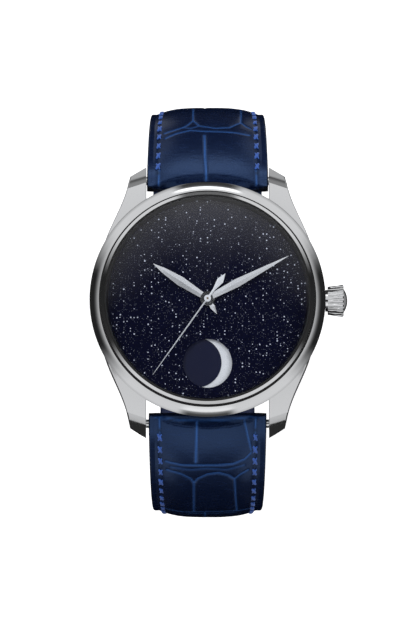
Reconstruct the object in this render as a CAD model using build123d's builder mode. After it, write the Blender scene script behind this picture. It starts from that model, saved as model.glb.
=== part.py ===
from build123d import *
import os
from math import acos, atan2, cos, degrees, hypot, pi, radians, sin, sqrt

# Wristwatch with a moon display and a leather strap. Millimetres.
# The origin is the middle of the case back's flat face. +Z points out of the dial, +Y to 12 o'clock,
# +X to 3 o'clock, where the crown is.

os.makedirs("parts", exist_ok=True)

# Shared clearances and the one overrun that every cut uses
cut_over = 1.0
run_clear = 0.04
seat_clear = 0.03
stack_gap = 0.06

# Case, seen from the front
case_diameter = 42.0
groove_diameter = 38.64
groove_floor_z = 8.7
bezel_diameter = 37.9
bezel_wall = 0.65
case_height = 9.4
back_edge_lift = 0.5
band_bottom_z = 7.7
band_edge_z = 8.35
band_arc_radius = 3.2
waist_diameter = 39.0
waist_bottom_diameter = 38.6
foot_chamfer = 0.6

# Lugs
lug_gap = 22.0
lug_to_lug = 48.7
lug_start_y = 7.0
lug_start_z = 8.3
lug_tip_z = 0.6
lug_tip_height = 1.5
lug_shoulder_y = 21.1
lug_shoulder_z = 6.4
lug_sweep_share = 0.33
lug_root_x = 18.9
lug_root_y = 4.2
lug_flare_x = 18.75
lug_flare_y = 8.6
lug_neck_x = 15.85
lug_neck_y = 16.0
lug_side_x = 14.15
lug_side_y = 21.2
lug_corner_x = 13.85
lug_corner_y = 22.5
lug_bevel = 0.35
lug_edge_round = 0.35
lug_top_radius = 34.0
lug_tip_radius = 16.0
lug_arch_radius = 40.0
waist_bow_radius = 28.0

# Spring bars
bar_y = 21.8
bar_z = 2.6
bar_radius = 0.75
bar_pin_radius = 0.4
bar_pin_length = 0.9

# Case back
back_ring_diameter = 35.76
back_ring_height = 1.5
back_bore_diameter = 35.8
back_window_diameter = 28.0
back_crystal_diameter = 29.3
back_crystal_height = 0.9
back_lip = 0.45
back_gasket_width = 0.26
back_gasket_height = 0.4
back_screw_count = 6
back_screw_first_angle = 30.0
back_screw_circle = 34.3
back_screw_head_radius = 0.6
back_screw_head_height = 0.45
back_screw_sink = 0.15
back_screw_shank_radius = 0.33
back_screw_reach = 1.9
slot_width = 0.2
slot_depth = 0.15

# Movement stack, from the back to the dial
shelf_radius = 16.7
casing_ledge_z = 5.4
plate_bottom_z = 5.2
plate_top_z = 7.2
plate_radius = 16.2
plate_wall_radius = 15.0
plate_rim_width = 0.6
bridge_bottom_z = 2.75
bridge_top_z = 1.9
moon_ring_z = 7.95
moon_ring_thick = 0.2
shadow_thick = 0.08
dial_z = 8.5
dial_thick = 0.3
dial_radius = 18.1
dial_hole_radius = 0.95

# Flange, bezel and crystal
flange_opening_radius = 17.65
flange_top_opening_radius = 17.98
flange_height = 1.7
flange_outer_radius = 18.26
bezel_seat_z = 9.3
bezel_top_z = 11.2
bezel_slope_drop = 0.33
bezel_land = 0.12
crystal_radius = 18.05
crystal_z = 10.6
crystal_edge_height = 0.75
crystal_rise = 0.9
crystal_hollow_radius = 17.3
crystal_hollow_rise = 0.55
gasket_height = 0.45

# Crown and keyless works
crown_z = 5.0
crown_gap_x = 21.4
crown_body_length = 2.8
crown_small_radius = 2.5
crown_large_radius = 2.9
crown_cap_radius = 2.15
crown_cap_length = 0.7
crown_cap_round = 0.35
crown_flutes = 24
crown_flute_radius = 0.24
crown_recess_depth = 1.1
crown_pipe_x = 18.4
crown_neck_x = 21.05
crown_collar_radius = 1.93
crown_tube_radius = 1.4
crown_tube_inset = 0.5
crown_tube_bore = 0.9
crown_tube_out = 0.9
crown_neck_radius = 0.84
stem_radius = 0.45
stem_inner_x = 7.6
stem_pivot_length = 1.3
stem_pivot_radius = 0.3
winding_pinion_x = 10.9
winding_pinion_length = 1.2
sliding_pinion_length = 1.3
pinion_step = 0.05
clutch_groove = 0.2
clutch_gap = 0.1
winding_module = 0.17
winding_teeth = 12
face_teeth = 26
face_tooth_height = 0.3
face_ring_width = 0.5
winding_mesh_radius = 2.4
keyless_channel_radius = 1.45

# Winding wheels on the back of the barrel bridge
ratchet_teeth = 46
crown_wheel_teeth = 40
winding_wheel_thick = 0.28
winding_wheel_lift = 0.04
barrel_arbor_radius = 0.9
barrel_pivot_radius = 0.55
barrel_pivot_length = 1.0
ratchet_square = 0.76
click_width = 1.1
click_pin_radius = 0.3
click_pin_depth = 0.5
click_distance = 6.0
click_angle = -10.0
click_tip_angle = 20.0
face_tooth_share = 0.42

# Going train: distances from the centre and counts of teeth
second_distance = 6.0
third_distance = 5.6
barrel_distance = 10.8
escape_distance = 5.5
barrel_angle = 50.0
escape_angle = 245.0
barrel_teeth = 96
second_pinion_leaves = 12
second_teeth = 80
third_pinion_leaves = 10
third_teeth = 75
fourth_pinion_leaves = 10
fourth_teeth = 80
escape_pinion_leaves = 8
escape_teeth = 15
escape_windows = 4
barrel_to_second = 5.83
second_to_third = 5.4
wheel_thick = 0.2
wheel_spokes = 5
wheel_rim_width = 0.55
hub_radius = 0.7
arbor_radius = 0.2
pivot_radius = 0.11
second_wheel_z = 4.75
third_wheel_z = 3.95
fourth_wheel_z = 3.15
leaf_over = 0.18
barrel_bottom_z = 2.9
barrel_height = 1.7
barrel_wall = 0.3
barrel_tooth_height = 0.3
mainspring_thick = 0.12
mainspring_height = 0.9
mainspring_half_turns = 11
mainspring_pitch = 0.55
seconds_arbor_radius = 0.16

# Escapement and balance
escape_radius = 2.3
escape_z = 4.15
escape_thick = 0.14
escape_rim_width = 0.35
escape_tooth_height = 0.55
window_share = 0.9
tooth_tip_share = 0.85
tooth_root_share = 1.15
pallet_span_share = 1.1547
pallet_to_balance = 3.3
fork_width = 0.3
fork_thick = 0.16
fork_head_width = 0.9
stone_length = 0.75
stone_width = 0.32
stone_thick = 0.3
lock_depth = 0.06
balance_radius = 4.2
balance_rim_width = 0.45
balance_rim_height = 0.5
balance_arm_width = 0.4
balance_z = 3.0
balance_hub_radius = 0.45
roller_radius = 0.75
roller_thick = 0.18
roller_z = 3.95
impulse_orbit = 0.55
impulse_pin_radius = 0.09
impulse_clear = 0.06
timing_screw_count = 8
timing_screw_radius = 0.2
timing_screw_length = 0.16
hairspring_z = 2.8
hairspring_height = 0.12
hairspring_wire = 0.08
hairspring_inner_radius = 0.8
hairspring_pitch = 0.5
hairspring_half_turns = 9
cock_width = 2.4
cock_foot_width = 4.8
cock_bottom_z = 2.62
pallet_bridge_z = 3.75
pallet_bridge_thick = 0.3
pallet_bridge_reach = 2.4
pallet_bridge_width = 0.9
balance_pocket_clear = 0.35
jewel_radius = 0.5
jewel_height = 0.35
bridge_screw_radius = 0.7
bridge_screw_height = 0.3
bridge_screw_shank = 0.35
bridge_screw_reach = 2.2
bridge_screw_circle = 15.55
bridge_gap = 0.12

# Motion works and moon train on the dial side
cannon_teeth = 12
minute_wheel_teeth = 36
minute_pinion_leaves = 10
hour_wheel_teeth = 40
motion_distance = 3.12
hour_pinion_teeth = 20
day_idler_teeth = 40
day_idler_small_teeth = 30
am_pm_wheel_teeth = 30
idler_distance = 3.0
idler_angle = 200.0
day_pinion_leaves = 8
moon_wheel_teeth = 59
moon_pinion_leaves = 10
moon_ring_teeth = 80
moon_train_distance = 3.0
moon_wheel_distance = 5.95
motion_base_z = 7.25
motion_thick = 0.17
level_step = 0.24
cannon_radius = 0.42
cannon_bore = 0.22
hour_tube_radius = 0.64
am_pm_tube_radius = 0.86
tube_gap = 0.04
motion_pivot_radius = 0.14
motion_pivot_length = 1.0
motion_arbor_radius = 0.22
moon_ring_outer_radius = 16.5
moon_shadow_radius = 4.45
moon_orbit = 11.5
moon_rest_angle = 260.1
aperture_radius = 4.35
ring_guide_clear = 0.08

# Hands. Clock angles are clockwise from 12 o'clock as the photograph shows them
hour_hand_length = 11.5
minute_hand_length = 16.3
seconds_hand_length = 16.7
seconds_tail_length = 5.4
am_pm_hand_length = 3.2
hour_hand_angle = 302.8
minute_hand_angle = 62.2
seconds_hand_angle = 215.5
am_pm_hand_angle = 148.4
hour_hand_half_width = 0.85
minute_hand_half_width = 0.75
seconds_hand_half_width = 0.13
seconds_tail_half_width = 0.6
am_pm_half_width = 0.45
hand_edge = 0.05
hand_ridge = 0.14
am_pm_hand_z = 9.0
hour_hand_z = 9.28
minute_hand_z = 9.56
seconds_hand_z = 9.84
hour_hub_radius = 1.3
minute_hub_radius = 1.0
seconds_hub_radius = 0.6
am_pm_hub_radius = 1.15
hub_thick = 0.2
seconds_pin_over = 0.12

# Strap
short_strap_width = 21.7
long_strap_width = 21.0
least_bend_angle = 0.01
strap_end_width = 18.0
strap_taper_z = -45.0
lining_thick = 1.0
edge_thick = 1.1
crown_thick = 1.3
crown_margin = 2.3
knuckle_radius = 1.95
bar_clear = 0.05
strap_start_angle = -20.0
strap_first_radius = 20.2
short_strap_length = 75.0
long_strap_length = 115.0
short_second_radius = 55.0
short_second_turn = 36.0
long_second_radius = 58.0
long_second_turn = 56.0
lining_start = 3.0
crown_start = 0.6
short_crown_end = 54.0
long_crown_end = 84.0
hole_count = 7
hole_radius = 0.9
hole_pitch = 6.5
first_hole_from_tip = 26.0
tip_length = 9.0
tip_share = 0.62
lining_inset = 0.2

# Buckle and keepers
buckle_bar_radius = 0.6
buckle_knuckle_radius = 1.25
buckle_slot = 3.0
buckle_length = 9.0
buckle_side = 1.7
buckle_thick = 1.8
buckle_inner_clear = 0.35
buckle_back = 1.3
tongue_width = 2.0
tongue_thick = 0.8
tongue_ring = 1.15
tongue_over = 0.9
ring_top_share = 0.87
buckle_round = 0.6
keeper_length = 4.5
keeper_wall = 1.0
keeper_clear = 0.3
fixed_keeper_at = 68.25
free_keeper_at = 61.75

# Values worked out from the sizes above
case_radius = case_diameter / 2
groove_radius = groove_diameter / 2
bezel_radius = bezel_diameter / 2
waist_radius = waist_diameter / 2
waist_bottom_radius = waist_bottom_diameter / 2
back_bore_radius = back_bore_diameter / 2
back_ring_radius = back_ring_diameter / 2
dial_top_z = dial_z + dial_thick


def polar(radius, angle):
    """A point of the dial plane from its radius and its angle in degrees, counted from 3 o'clock."""
    return (radius * cos(radians(angle)), radius * sin(radians(angle)))


def placed(at, angle, point):
    """A point given along and across a direction, from a place of the dial plane."""
    along = polar(point[0], angle)
    across = polar(point[1], angle + 90)
    return (at[0] + along[0] + across[0], at[1] + along[1] + across[1])


def meet(near, far, from_near, from_far, side):
    """Where circles about two points cross, on the left (side 1) or right (side -1) of near to far."""
    dx = far[0] - near[0]
    dy = far[1] - near[1]
    apart = hypot(dx, dy)
    along = (from_near**2 - from_far**2 + apart**2) / (2 * apart)
    off = sqrt(max(from_near**2 - along**2, 0)) * side
    return (near[0] + (along * dx - off * dy) / apart, near[1] + (along * dy + off * dx) / apart)


def bearing(start, end):
    """The angle in degrees of the line from one point to another."""
    return degrees(atan2(end[1] - start[1], end[0] - start[0]))


def meshed_phase(teeth, phase, direction, other_teeth):
    """The phase that puts the other wheel's teeth in the gaps of this one, across their line of centres."""
    share = ((direction - phase) * teeth / 360) % 1
    return direction + 180 - (0.5 - share) * 360 / other_teeth


def wheel_face(teeth, module, phase=0.0, depth_share=1.0, internal=False):
    """A toothed outline with slim, slightly pointed teeth, as a sketch about the origin."""
    pitch_radius = teeth * module / 2
    tip_rise = tooth_tip_share * module * depth_share
    root_fall = tooth_root_share * module * depth_share
    tip_radius = pitch_radius - tip_rise if internal else pitch_radius + tip_rise
    root_radius = pitch_radius + root_fall if internal else pitch_radius - root_fall
    pitch_angle = 360 / teeth
    root_half_share = 0.27
    tip_half_share = 0.11
    points = []
    for i in range(teeth):
        middle = phase + i * pitch_angle
        points.append(polar(root_radius, middle - root_half_share * pitch_angle))
        points.append(polar(tip_radius, middle - tip_half_share * pitch_angle))
        points.append(polar(tip_radius, middle + tip_half_share * pitch_angle))
        points.append(polar(root_radius, middle + root_half_share * pitch_angle))
    with BuildSketch() as outline:
        with BuildLine():
            Polyline(*points, close=True)
        make_face()
    return outline.sketch


def spiral_arcs(inner_radius, pitch, half_turns):
    """The half turns of a flat spiral, as (centre, radius, start angle).

    Their centres swap between two points, so each half turn joins the next one smoothly.
    """
    arcs = []
    for i in range(half_turns):
        centre = 0.0 if i % 2 == 0 else pitch / 2
        start = 0 if i % 2 == 0 else 180
        arcs.append((centre, inner_radius + i * pitch / 2, start))
    return arcs


def spring_line(at, inner_radius, pitch, half_turns):
    """Draws such a spiral about a place of the dial plane as one unbroken line."""
    for centre, radius, start in spiral_arcs(inner_radius, pitch, half_turns):
        CenterArc((at[0] + centre, at[1]), radius, start, 180)


def least_spiral_gap(inner_radius, pitch, half_turns, wire):
    """The least gap between neighbouring turns of such a spiral, measured on points."""
    samples_per_arc = 24
    points = []
    for centre, radius, start in spiral_arcs(inner_radius, pitch, half_turns):
        for k in range(samples_per_arc):
            turn = radians(start + 180 * k / samples_per_arc)
            points.append((centre + radius * cos(turn), radius * sin(turn)))
    least = inner_radius * half_turns
    for i, one in enumerate(points):
        for other in points[i + samples_per_arc :]:
            least = min(least, hypot(one[0] - other[0], one[1] - other[1]))
    return least - wire


# Places of the train, seen from the dial
centre_at = (0.0, 0.0)
barrel_at = polar(barrel_distance, barrel_angle)
second_at = meet(centre_at, barrel_at, second_distance, barrel_to_second, 1)
third_at = meet(centre_at, second_at, third_distance, second_to_third, 1)
escape_at = polar(escape_distance, escape_angle)
pallet_distance = escape_distance + escape_radius * pallet_span_share
balance_distance = pallet_distance + pallet_to_balance
pallet_at = polar(pallet_distance, escape_angle)
balance_at = polar(balance_distance, escape_angle)
minute_wheel_at = meet(centre_at, second_at, motion_distance, motion_distance, -1)
idler_at = polar(idler_distance, idler_angle)
moon_wheel_at = meet(centre_at, idler_at, moon_wheel_distance, moon_train_distance, -1)
crown_wheel_at = (winding_pinion_x + winding_pinion_length / 2 - winding_mesh_radius, 0.0)
winding_distance = hypot(barrel_at[0] - crown_wheel_at[0], barrel_at[1] - crown_wheel_at[1])

# Modules from the distances, so that each pair meets at its pitch circles
barrel_module = 2 * barrel_to_second / (barrel_teeth + second_pinion_leaves)
second_module = 2 * second_to_third / (second_teeth + third_pinion_leaves)
third_module = 2 * third_distance / (third_teeth + fourth_pinion_leaves)
fourth_module = 2 * escape_distance / (fourth_teeth + escape_pinion_leaves)
motion_module = 2 * motion_distance / (cannon_teeth + minute_wheel_teeth)
hour_module = 2 * motion_distance / (minute_pinion_leaves + hour_wheel_teeth)
day_module = 2 * idler_distance / (hour_pinion_teeth + day_idler_teeth)
moon_module = 2 * moon_train_distance / (day_pinion_leaves + moon_wheel_teeth)
ring_module = 2 * moon_wheel_distance / (moon_ring_teeth - moon_pinion_leaves)
winding_wheel_module = 2 * winding_distance / (ratchet_teeth + crown_wheel_teeth)

# The click stands beside the ratchet wheel with its tip just clear of the teeth
ratchet_tip_radius = ratchet_teeth * winding_wheel_module / 2 + winding_wheel_module
click_reach = polar(click_distance, click_angle)
click_at = (barrel_at[0] + click_reach[0], barrel_at[1] + click_reach[1])
click_tip_reach = polar(ratchet_tip_radius + click_width / 4 + run_clear, click_tip_angle)
click_tip_at = (barrel_at[0] + click_tip_reach[0], barrel_at[1] + click_tip_reach[1])

# Phases, so that teeth stand in gaps at rest
second_pinion_phase = meshed_phase(barrel_teeth, 0, bearing(barrel_at, second_at), second_pinion_leaves)
third_pinion_phase = meshed_phase(second_teeth, 0, bearing(second_at, third_at), third_pinion_leaves)
fourth_pinion_phase = meshed_phase(third_teeth, 0, bearing(third_at, centre_at), fourth_pinion_leaves)
escape_pinion_phase = meshed_phase(fourth_teeth, 0, bearing(centre_at, escape_at), escape_pinion_leaves)
minute_wheel_phase = meshed_phase(cannon_teeth, 0, bearing(centre_at, minute_wheel_at), minute_wheel_teeth)
driving_phase = meshed_phase(
    minute_wheel_teeth, minute_wheel_phase, bearing(minute_wheel_at, second_at), cannon_teeth
)
hour_wheel_phase = meshed_phase(
    minute_pinion_leaves, 0, bearing(minute_wheel_at, centre_at), hour_wheel_teeth
)
idler_phase = meshed_phase(hour_pinion_teeth, 0, bearing(centre_at, idler_at), day_idler_teeth)
am_pm_phase = meshed_phase(
    day_idler_small_teeth, 0, bearing(idler_at, centre_at), am_pm_wheel_teeth
)
moon_wheel_phase = meshed_phase(
    day_pinion_leaves, 0, bearing(idler_at, moon_wheel_at), moon_wheel_teeth
)
ring_direction = bearing(centre_at, moon_wheel_at)
ring_share = ((ring_direction - 0) * moon_pinion_leaves / 360) % 1
moon_ring_phase = ring_direction - (0.5 + ring_share) * 360 / moon_ring_teeth
crown_wheel_phase = meshed_phase(
    ratchet_teeth, 0, bearing(barrel_at, crown_wheel_at), crown_wheel_teeth
)

# Levels of the dial side
hour_level = motion_base_z + level_step
day_level = hour_level + level_step
am_pm_level = day_level + level_step

# One lug, as a side profile swept towards its outer corner and cut to its outline from above
lug_half_gap = lug_gap / 2
lug_end_y = lug_to_lug / 2
lug_reach = (lug_root_x - lug_half_gap + cut_over) * hypot(1, lug_sweep_share)
with BuildPart() as lug:
    with BuildSketch(Plane.YZ.offset(lug_half_gap)):
        with BuildLine():
            start_top = (lug_start_y, lug_start_z)
            start_low = (lug_start_y, back_edge_lift + foot_chamfer)
            shoulder = (lug_shoulder_y, lug_shoulder_z)
            tip_top = (lug_end_y, lug_tip_z + lug_tip_height)
            tip_low = (lug_end_y - lug_bevel, lug_tip_z)
            arch_start = (lug_shoulder_y, lug_tip_z)
            Line(start_low, start_top)
            RadiusArc(start_top, shoulder, lug_top_radius)
            RadiusArc(shoulder, tip_top, lug_tip_radius)
            Line(tip_top, tip_low)
            Line(tip_low, arch_start)
            RadiusArc(arch_start, start_low, -lug_arch_radius)
        make_face()
    extrude(amount=lug_reach, dir=(1, -lug_sweep_share, 0))
    with BuildSketch():
        with BuildLine():
            outer_root = (lug_root_x, lug_root_y)
            outer_side = (lug_side_x, lug_side_y)
            Spline(outer_root, (lug_flare_x, lug_flare_y), (lug_neck_x, lug_neck_y), outer_side)
            Polyline(
                outer_side,
                (lug_corner_x, lug_corner_y),
                (lug_half_gap, lug_end_y),
                (lug_half_gap, lug_root_y),
                outer_root,
            )
        make_face()
    extrude(amount=case_height, mode=Mode.INTERSECT)
    upper_edges = [
        edge
        for edge in lug.edges()
        if edge.center().X > lug_half_gap + lug_bevel
        and edge.center().Z > lug_tip_z + lug_tip_height
        and edge.bounding_box().size.Y > edge.bounding_box().size.X
    ]
    fillet(upper_edges, lug_edge_round)

# Case middle: a turned body with four lugs, then its bores
with BuildPart() as case_middle:
    with BuildSketch(Plane.XZ):
        with BuildLine():
            rim_start = (groove_radius, case_height)
            rim_end = (case_radius, band_edge_z)
            Polyline((0, back_edge_lift), (0, case_height), rim_start)
            RadiusArc(rim_start, rim_end, band_arc_radius)
            Line(rim_end, (case_radius, band_bottom_z + lug_bevel))
            Line(
                (case_radius, band_bottom_z + lug_bevel),
                (case_radius - lug_bevel, band_bottom_z),
            )
            waist_top = (waist_radius + lug_bevel, band_bottom_z - lug_bevel)
            Line((case_radius - lug_bevel, band_bottom_z), waist_top)
            waist_foot = (waist_bottom_radius, back_edge_lift + foot_chamfer)
            RadiusArc(waist_top, waist_foot, -waist_bow_radius)
            Line(waist_foot, (waist_bottom_radius - foot_chamfer, back_edge_lift))
            Line((waist_bottom_radius - foot_chamfer, back_edge_lift), (0, back_edge_lift))
        make_face()
    revolve(axis=Axis.Z)
    add(lug.part)
    add(lug.part.mirror(Plane.YZ))
    add(lug.part.mirror(Plane.XZ))
    add(lug.part.mirror(Plane.XZ).mirror(Plane.YZ))
    # Bores for the case back, the movement, the dial, the flange and the bezel
    with BuildSketch(Plane.XZ):
        with BuildLine():
            Polyline(
                (0, back_edge_lift - cut_over),
                (back_bore_radius, back_edge_lift - cut_over),
                (back_bore_radius, back_ring_height),
                (shelf_radius, back_ring_height),
                (shelf_radius, casing_ledge_z),
                (dial_radius + 2 * seat_clear, casing_ledge_z),
                (dial_radius + 2 * seat_clear, bezel_seat_z),
                (bezel_radius, bezel_seat_z),
                (bezel_radius, groove_floor_z),
                (groove_radius, groove_floor_z),
                (groove_radius, case_height + cut_over),
                (0, case_height + cut_over),
                close=True,
            )
        make_face()
    revolve(axis=Axis.Z, mode=Mode.SUBTRACT)
    # Crown tube bore, spring bar holes and case back screw holes
    with BuildSketch(Plane.YZ.offset(shelf_radius - cut_over)):
        with Locations((0, crown_z)):
            Circle(crown_tube_radius)
    extrude(amount=case_radius - shelf_radius + 2 * cut_over, mode=Mode.SUBTRACT)
    for side in (1, -1):
        with BuildSketch(Plane.YZ.offset(-lug_half_gap - bar_pin_length)):
            with Locations((side * bar_y, bar_z)):
                Circle(bar_pin_radius + run_clear)
        extrude(amount=lug_gap + 2 * bar_pin_length, mode=Mode.SUBTRACT)
    with BuildSketch(Plane.XY.offset(back_ring_height)):
        with PolarLocations(back_screw_circle / 2, back_screw_count, start_angle=back_screw_first_angle):
            Circle(back_screw_shank_radius)
    extrude(amount=back_screw_reach, mode=Mode.SUBTRACT)
case_middle.part.label = "case_middle"
export_step(case_middle.part, "parts/case_middle.step")

with BuildPart() as bezel:
    with BuildSketch(Plane.XZ):
        with BuildLine():
            Polyline(
                (bezel_radius - bezel_wall, bezel_seat_z),
                (bezel_radius, bezel_seat_z),
                (bezel_radius, bezel_top_z - bezel_slope_drop),
                (bezel_radius - bezel_wall + bezel_land, bezel_top_z),
                (bezel_radius - bezel_wall, bezel_top_z),
                close=True,
            )
        make_face()
    revolve(axis=Axis.Z)
bezel.part.label = "bezel"
export_step(bezel.part, "parts/bezel.step")

with BuildPart() as front_crystal:
    with BuildSketch(Plane.XZ):
        with BuildLine():
            dome_edge = (crystal_radius, crystal_z + crystal_edge_height)
            dome_top = (0, crystal_z + crystal_edge_height + crystal_rise)
            dome_radius = (crystal_radius**2 + crystal_rise**2) / (2 * crystal_rise)
            hollow_top = (0, crystal_z + crystal_hollow_rise)
            hollow_radius = (crystal_hollow_radius**2 + crystal_hollow_rise**2) / (
                2 * crystal_hollow_rise
            )
            Polyline(
                (crystal_hollow_radius, crystal_z), (crystal_radius, crystal_z), dome_edge
            )
            RadiusArc(dome_edge, dome_top, -dome_radius)
            Line(dome_top, hollow_top)
            RadiusArc(hollow_top, (crystal_hollow_radius, crystal_z), hollow_radius)
        make_face()
    revolve(axis=Axis.Z)
front_crystal.part.label = "front_crystal"
export_step(front_crystal.part, "parts/front_crystal.step")

with BuildPart() as crystal_gasket:
    with BuildSketch(Plane.XY.offset(crystal_z)):
        Circle(bezel_radius - bezel_wall)
        Circle(crystal_radius, mode=Mode.SUBTRACT)
    extrude(amount=gasket_height)
crystal_gasket.part.label = "crystal_gasket"
export_step(crystal_gasket.part, "parts/crystal_gasket.step")

with BuildPart() as inner_flange:
    with BuildSketch(Plane.XZ):
        with BuildLine():
            Polyline(
                (flange_opening_radius, dial_top_z),
                (dial_radius, dial_top_z),
                (dial_radius, bezel_seat_z),
                (flange_outer_radius, bezel_seat_z),
                (flange_outer_radius, dial_top_z + flange_height),
                (flange_top_opening_radius, dial_top_z + flange_height),
                close=True,
            )
        make_face()
    revolve(axis=Axis.Z)
inner_flange.part.label = "inner_flange"
export_step(inner_flange.part, "parts/inner_flange.step")

# Case back: a flat ring with a window, its crystal, gasket and screws
with BuildPart() as case_back_ring:
    with BuildSketch():
        Circle(back_ring_radius)
        Circle(back_window_diameter / 2, mode=Mode.SUBTRACT)
    extrude(amount=back_ring_height)
    with BuildSketch(Plane.XY.offset(back_lip)):
        Circle(back_crystal_diameter / 2)
    extrude(amount=back_ring_height, mode=Mode.SUBTRACT)
    with BuildSketch(Plane.XY.offset(back_ring_height - back_gasket_height)):
        Circle(back_ring_radius + cut_over)
        Circle(back_ring_radius - back_gasket_width, mode=Mode.SUBTRACT)
    extrude(amount=back_gasket_height + cut_over, mode=Mode.SUBTRACT)
    with BuildSketch():
        with PolarLocations(back_screw_circle / 2, back_screw_count, start_angle=back_screw_first_angle):
            Circle(back_screw_head_radius + seat_clear)
    extrude(amount=back_screw_sink + back_screw_head_height, mode=Mode.SUBTRACT)
    with BuildSketch():
        with PolarLocations(back_screw_circle / 2, back_screw_count, start_angle=back_screw_first_angle):
            Circle(back_screw_shank_radius + seat_clear)
    extrude(amount=back_ring_height, mode=Mode.SUBTRACT)
case_back_ring.part.label = "case_back_ring"
export_step(case_back_ring.part, "parts/case_back_ring.step")

with BuildPart() as back_crystal:
    with BuildSketch(Plane.XY.offset(back_lip)):
        Circle(back_crystal_diameter / 2 - seat_clear)
    extrude(amount=back_crystal_height)
back_crystal.part.label = "back_crystal"
export_step(back_crystal.part, "parts/back_crystal.step")

with BuildPart() as case_back_gasket:
    with BuildSketch(Plane.XY.offset(back_ring_height - back_gasket_height)):
        Circle(back_ring_radius)
        Circle(back_ring_radius - back_gasket_width, mode=Mode.SUBTRACT)
    extrude(amount=back_gasket_height)
case_back_gasket.part.label = "case_back_gasket"
export_step(case_back_gasket.part, "parts/case_back_gasket.step")

with BuildPart() as case_back_screws:
    with PolarLocations(back_screw_circle / 2, back_screw_count, start_angle=back_screw_first_angle):
        with Locations((0, 0, back_screw_sink)):
            Cylinder(
                back_screw_head_radius,
                back_screw_head_height,
                align=(Align.CENTER, Align.CENTER, Align.MIN),
            )
            Box(
                2 * back_screw_head_radius,
                slot_width,
                slot_depth,
                align=(Align.CENTER, Align.CENTER, Align.MIN),
                mode=Mode.SUBTRACT,
            )
        with Locations((0, 0, back_screw_sink + back_screw_head_height)):
            Cylinder(
                back_screw_shank_radius,
                back_ring_height + back_screw_reach - back_screw_sink - back_screw_head_height,
                align=(Align.CENTER, Align.CENTER, Align.MIN),
            )
case_back_screws.part.label = "case_back_screws"
export_step(case_back_screws.part, "parts/case_back_screws.step")

with BuildPart() as crown_tube:
    with BuildSketch(Plane.YZ.offset(shelf_radius + crown_tube_inset)):
        with Locations((0, crown_z)):
            Circle(crown_tube_radius)
            Circle(crown_tube_bore, mode=Mode.SUBTRACT)
    extrude(amount=waist_radius + crown_tube_out - shelf_radius)
crown_tube.part.label = "crown_tube"
export_step(crown_tube.part, "parts/crown_tube.step")

with BuildPart() as spring_bars:
    for side in (1, -1):
        with BuildSketch(Plane.YZ.offset(-lug_half_gap + run_clear)):
            with Locations((side * bar_y, bar_z)):
                Circle(bar_radius)
        extrude(amount=lug_gap - 2 * run_clear)
        with BuildSketch(Plane.YZ.offset(-lug_half_gap - bar_pin_length + run_clear)):
            with Locations((side * bar_y, bar_z)):
                Circle(bar_pin_radius)
        extrude(amount=lug_gap + 2 * bar_pin_length - 2 * run_clear)
spring_bars.part.label = "spring_bars"
export_step(spring_bars.part, "parts/spring_bars.step")

# Dial with its round aperture for the moon
with BuildPart() as dial:
    with BuildSketch(Plane.XY.offset(dial_z)):
        Circle(dial_radius)
        Circle(dial_hole_radius, mode=Mode.SUBTRACT)
        with Locations((0, -moon_orbit)):
            Circle(aperture_radius, mode=Mode.SUBTRACT)
    extrude(amount=dial_thick)
dial.part.label = "dial"
export_step(dial.part, "parts/dial.step")

with BuildPart() as casing_ring:
    with BuildSketch(Plane.XY.offset(casing_ledge_z)):
        Circle(dial_radius)
        Circle(plate_radius + seat_clear, mode=Mode.SUBTRACT)
    extrude(amount=dial_z - casing_ledge_z)
    with BuildSketch(Plane.XY.offset(moon_ring_z - stack_gap)):
        Circle(moon_ring_outer_radius + ring_guide_clear)
    extrude(amount=dial_z, mode=Mode.SUBTRACT)
    with BuildSketch(Plane.YZ.offset(plate_radius - cut_over)):
        with Locations((0, crown_z)):
            Circle(crown_tube_radius + seat_clear)
    extrude(amount=case_radius - plate_radius, mode=Mode.SUBTRACT)
casing_ring.part.label = "casing_ring"
export_step(casing_ring.part, "parts/casing_ring.step")

# Pivots of the train in the plate, and screws of the bridges in its wall
plate_pivots = [third_at, escape_at, pallet_at, balance_at]
train_bridge_pivots = [second_at, third_at, escape_at, centre_at]
motion_pivots = [idler_at, minute_wheel_at, moon_wheel_at]
train_screw_angles = [104.0, 150.0, 192.0]
barrel_screw_angles = [80.0, 14.0, -24.0, -58.0]
cock_screw_angle = 213.0
screw_places = [
    polar(bridge_screw_circle, angle)
    for angle in [*train_screw_angles, *barrel_screw_angles, cock_screw_angle]
]

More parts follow.
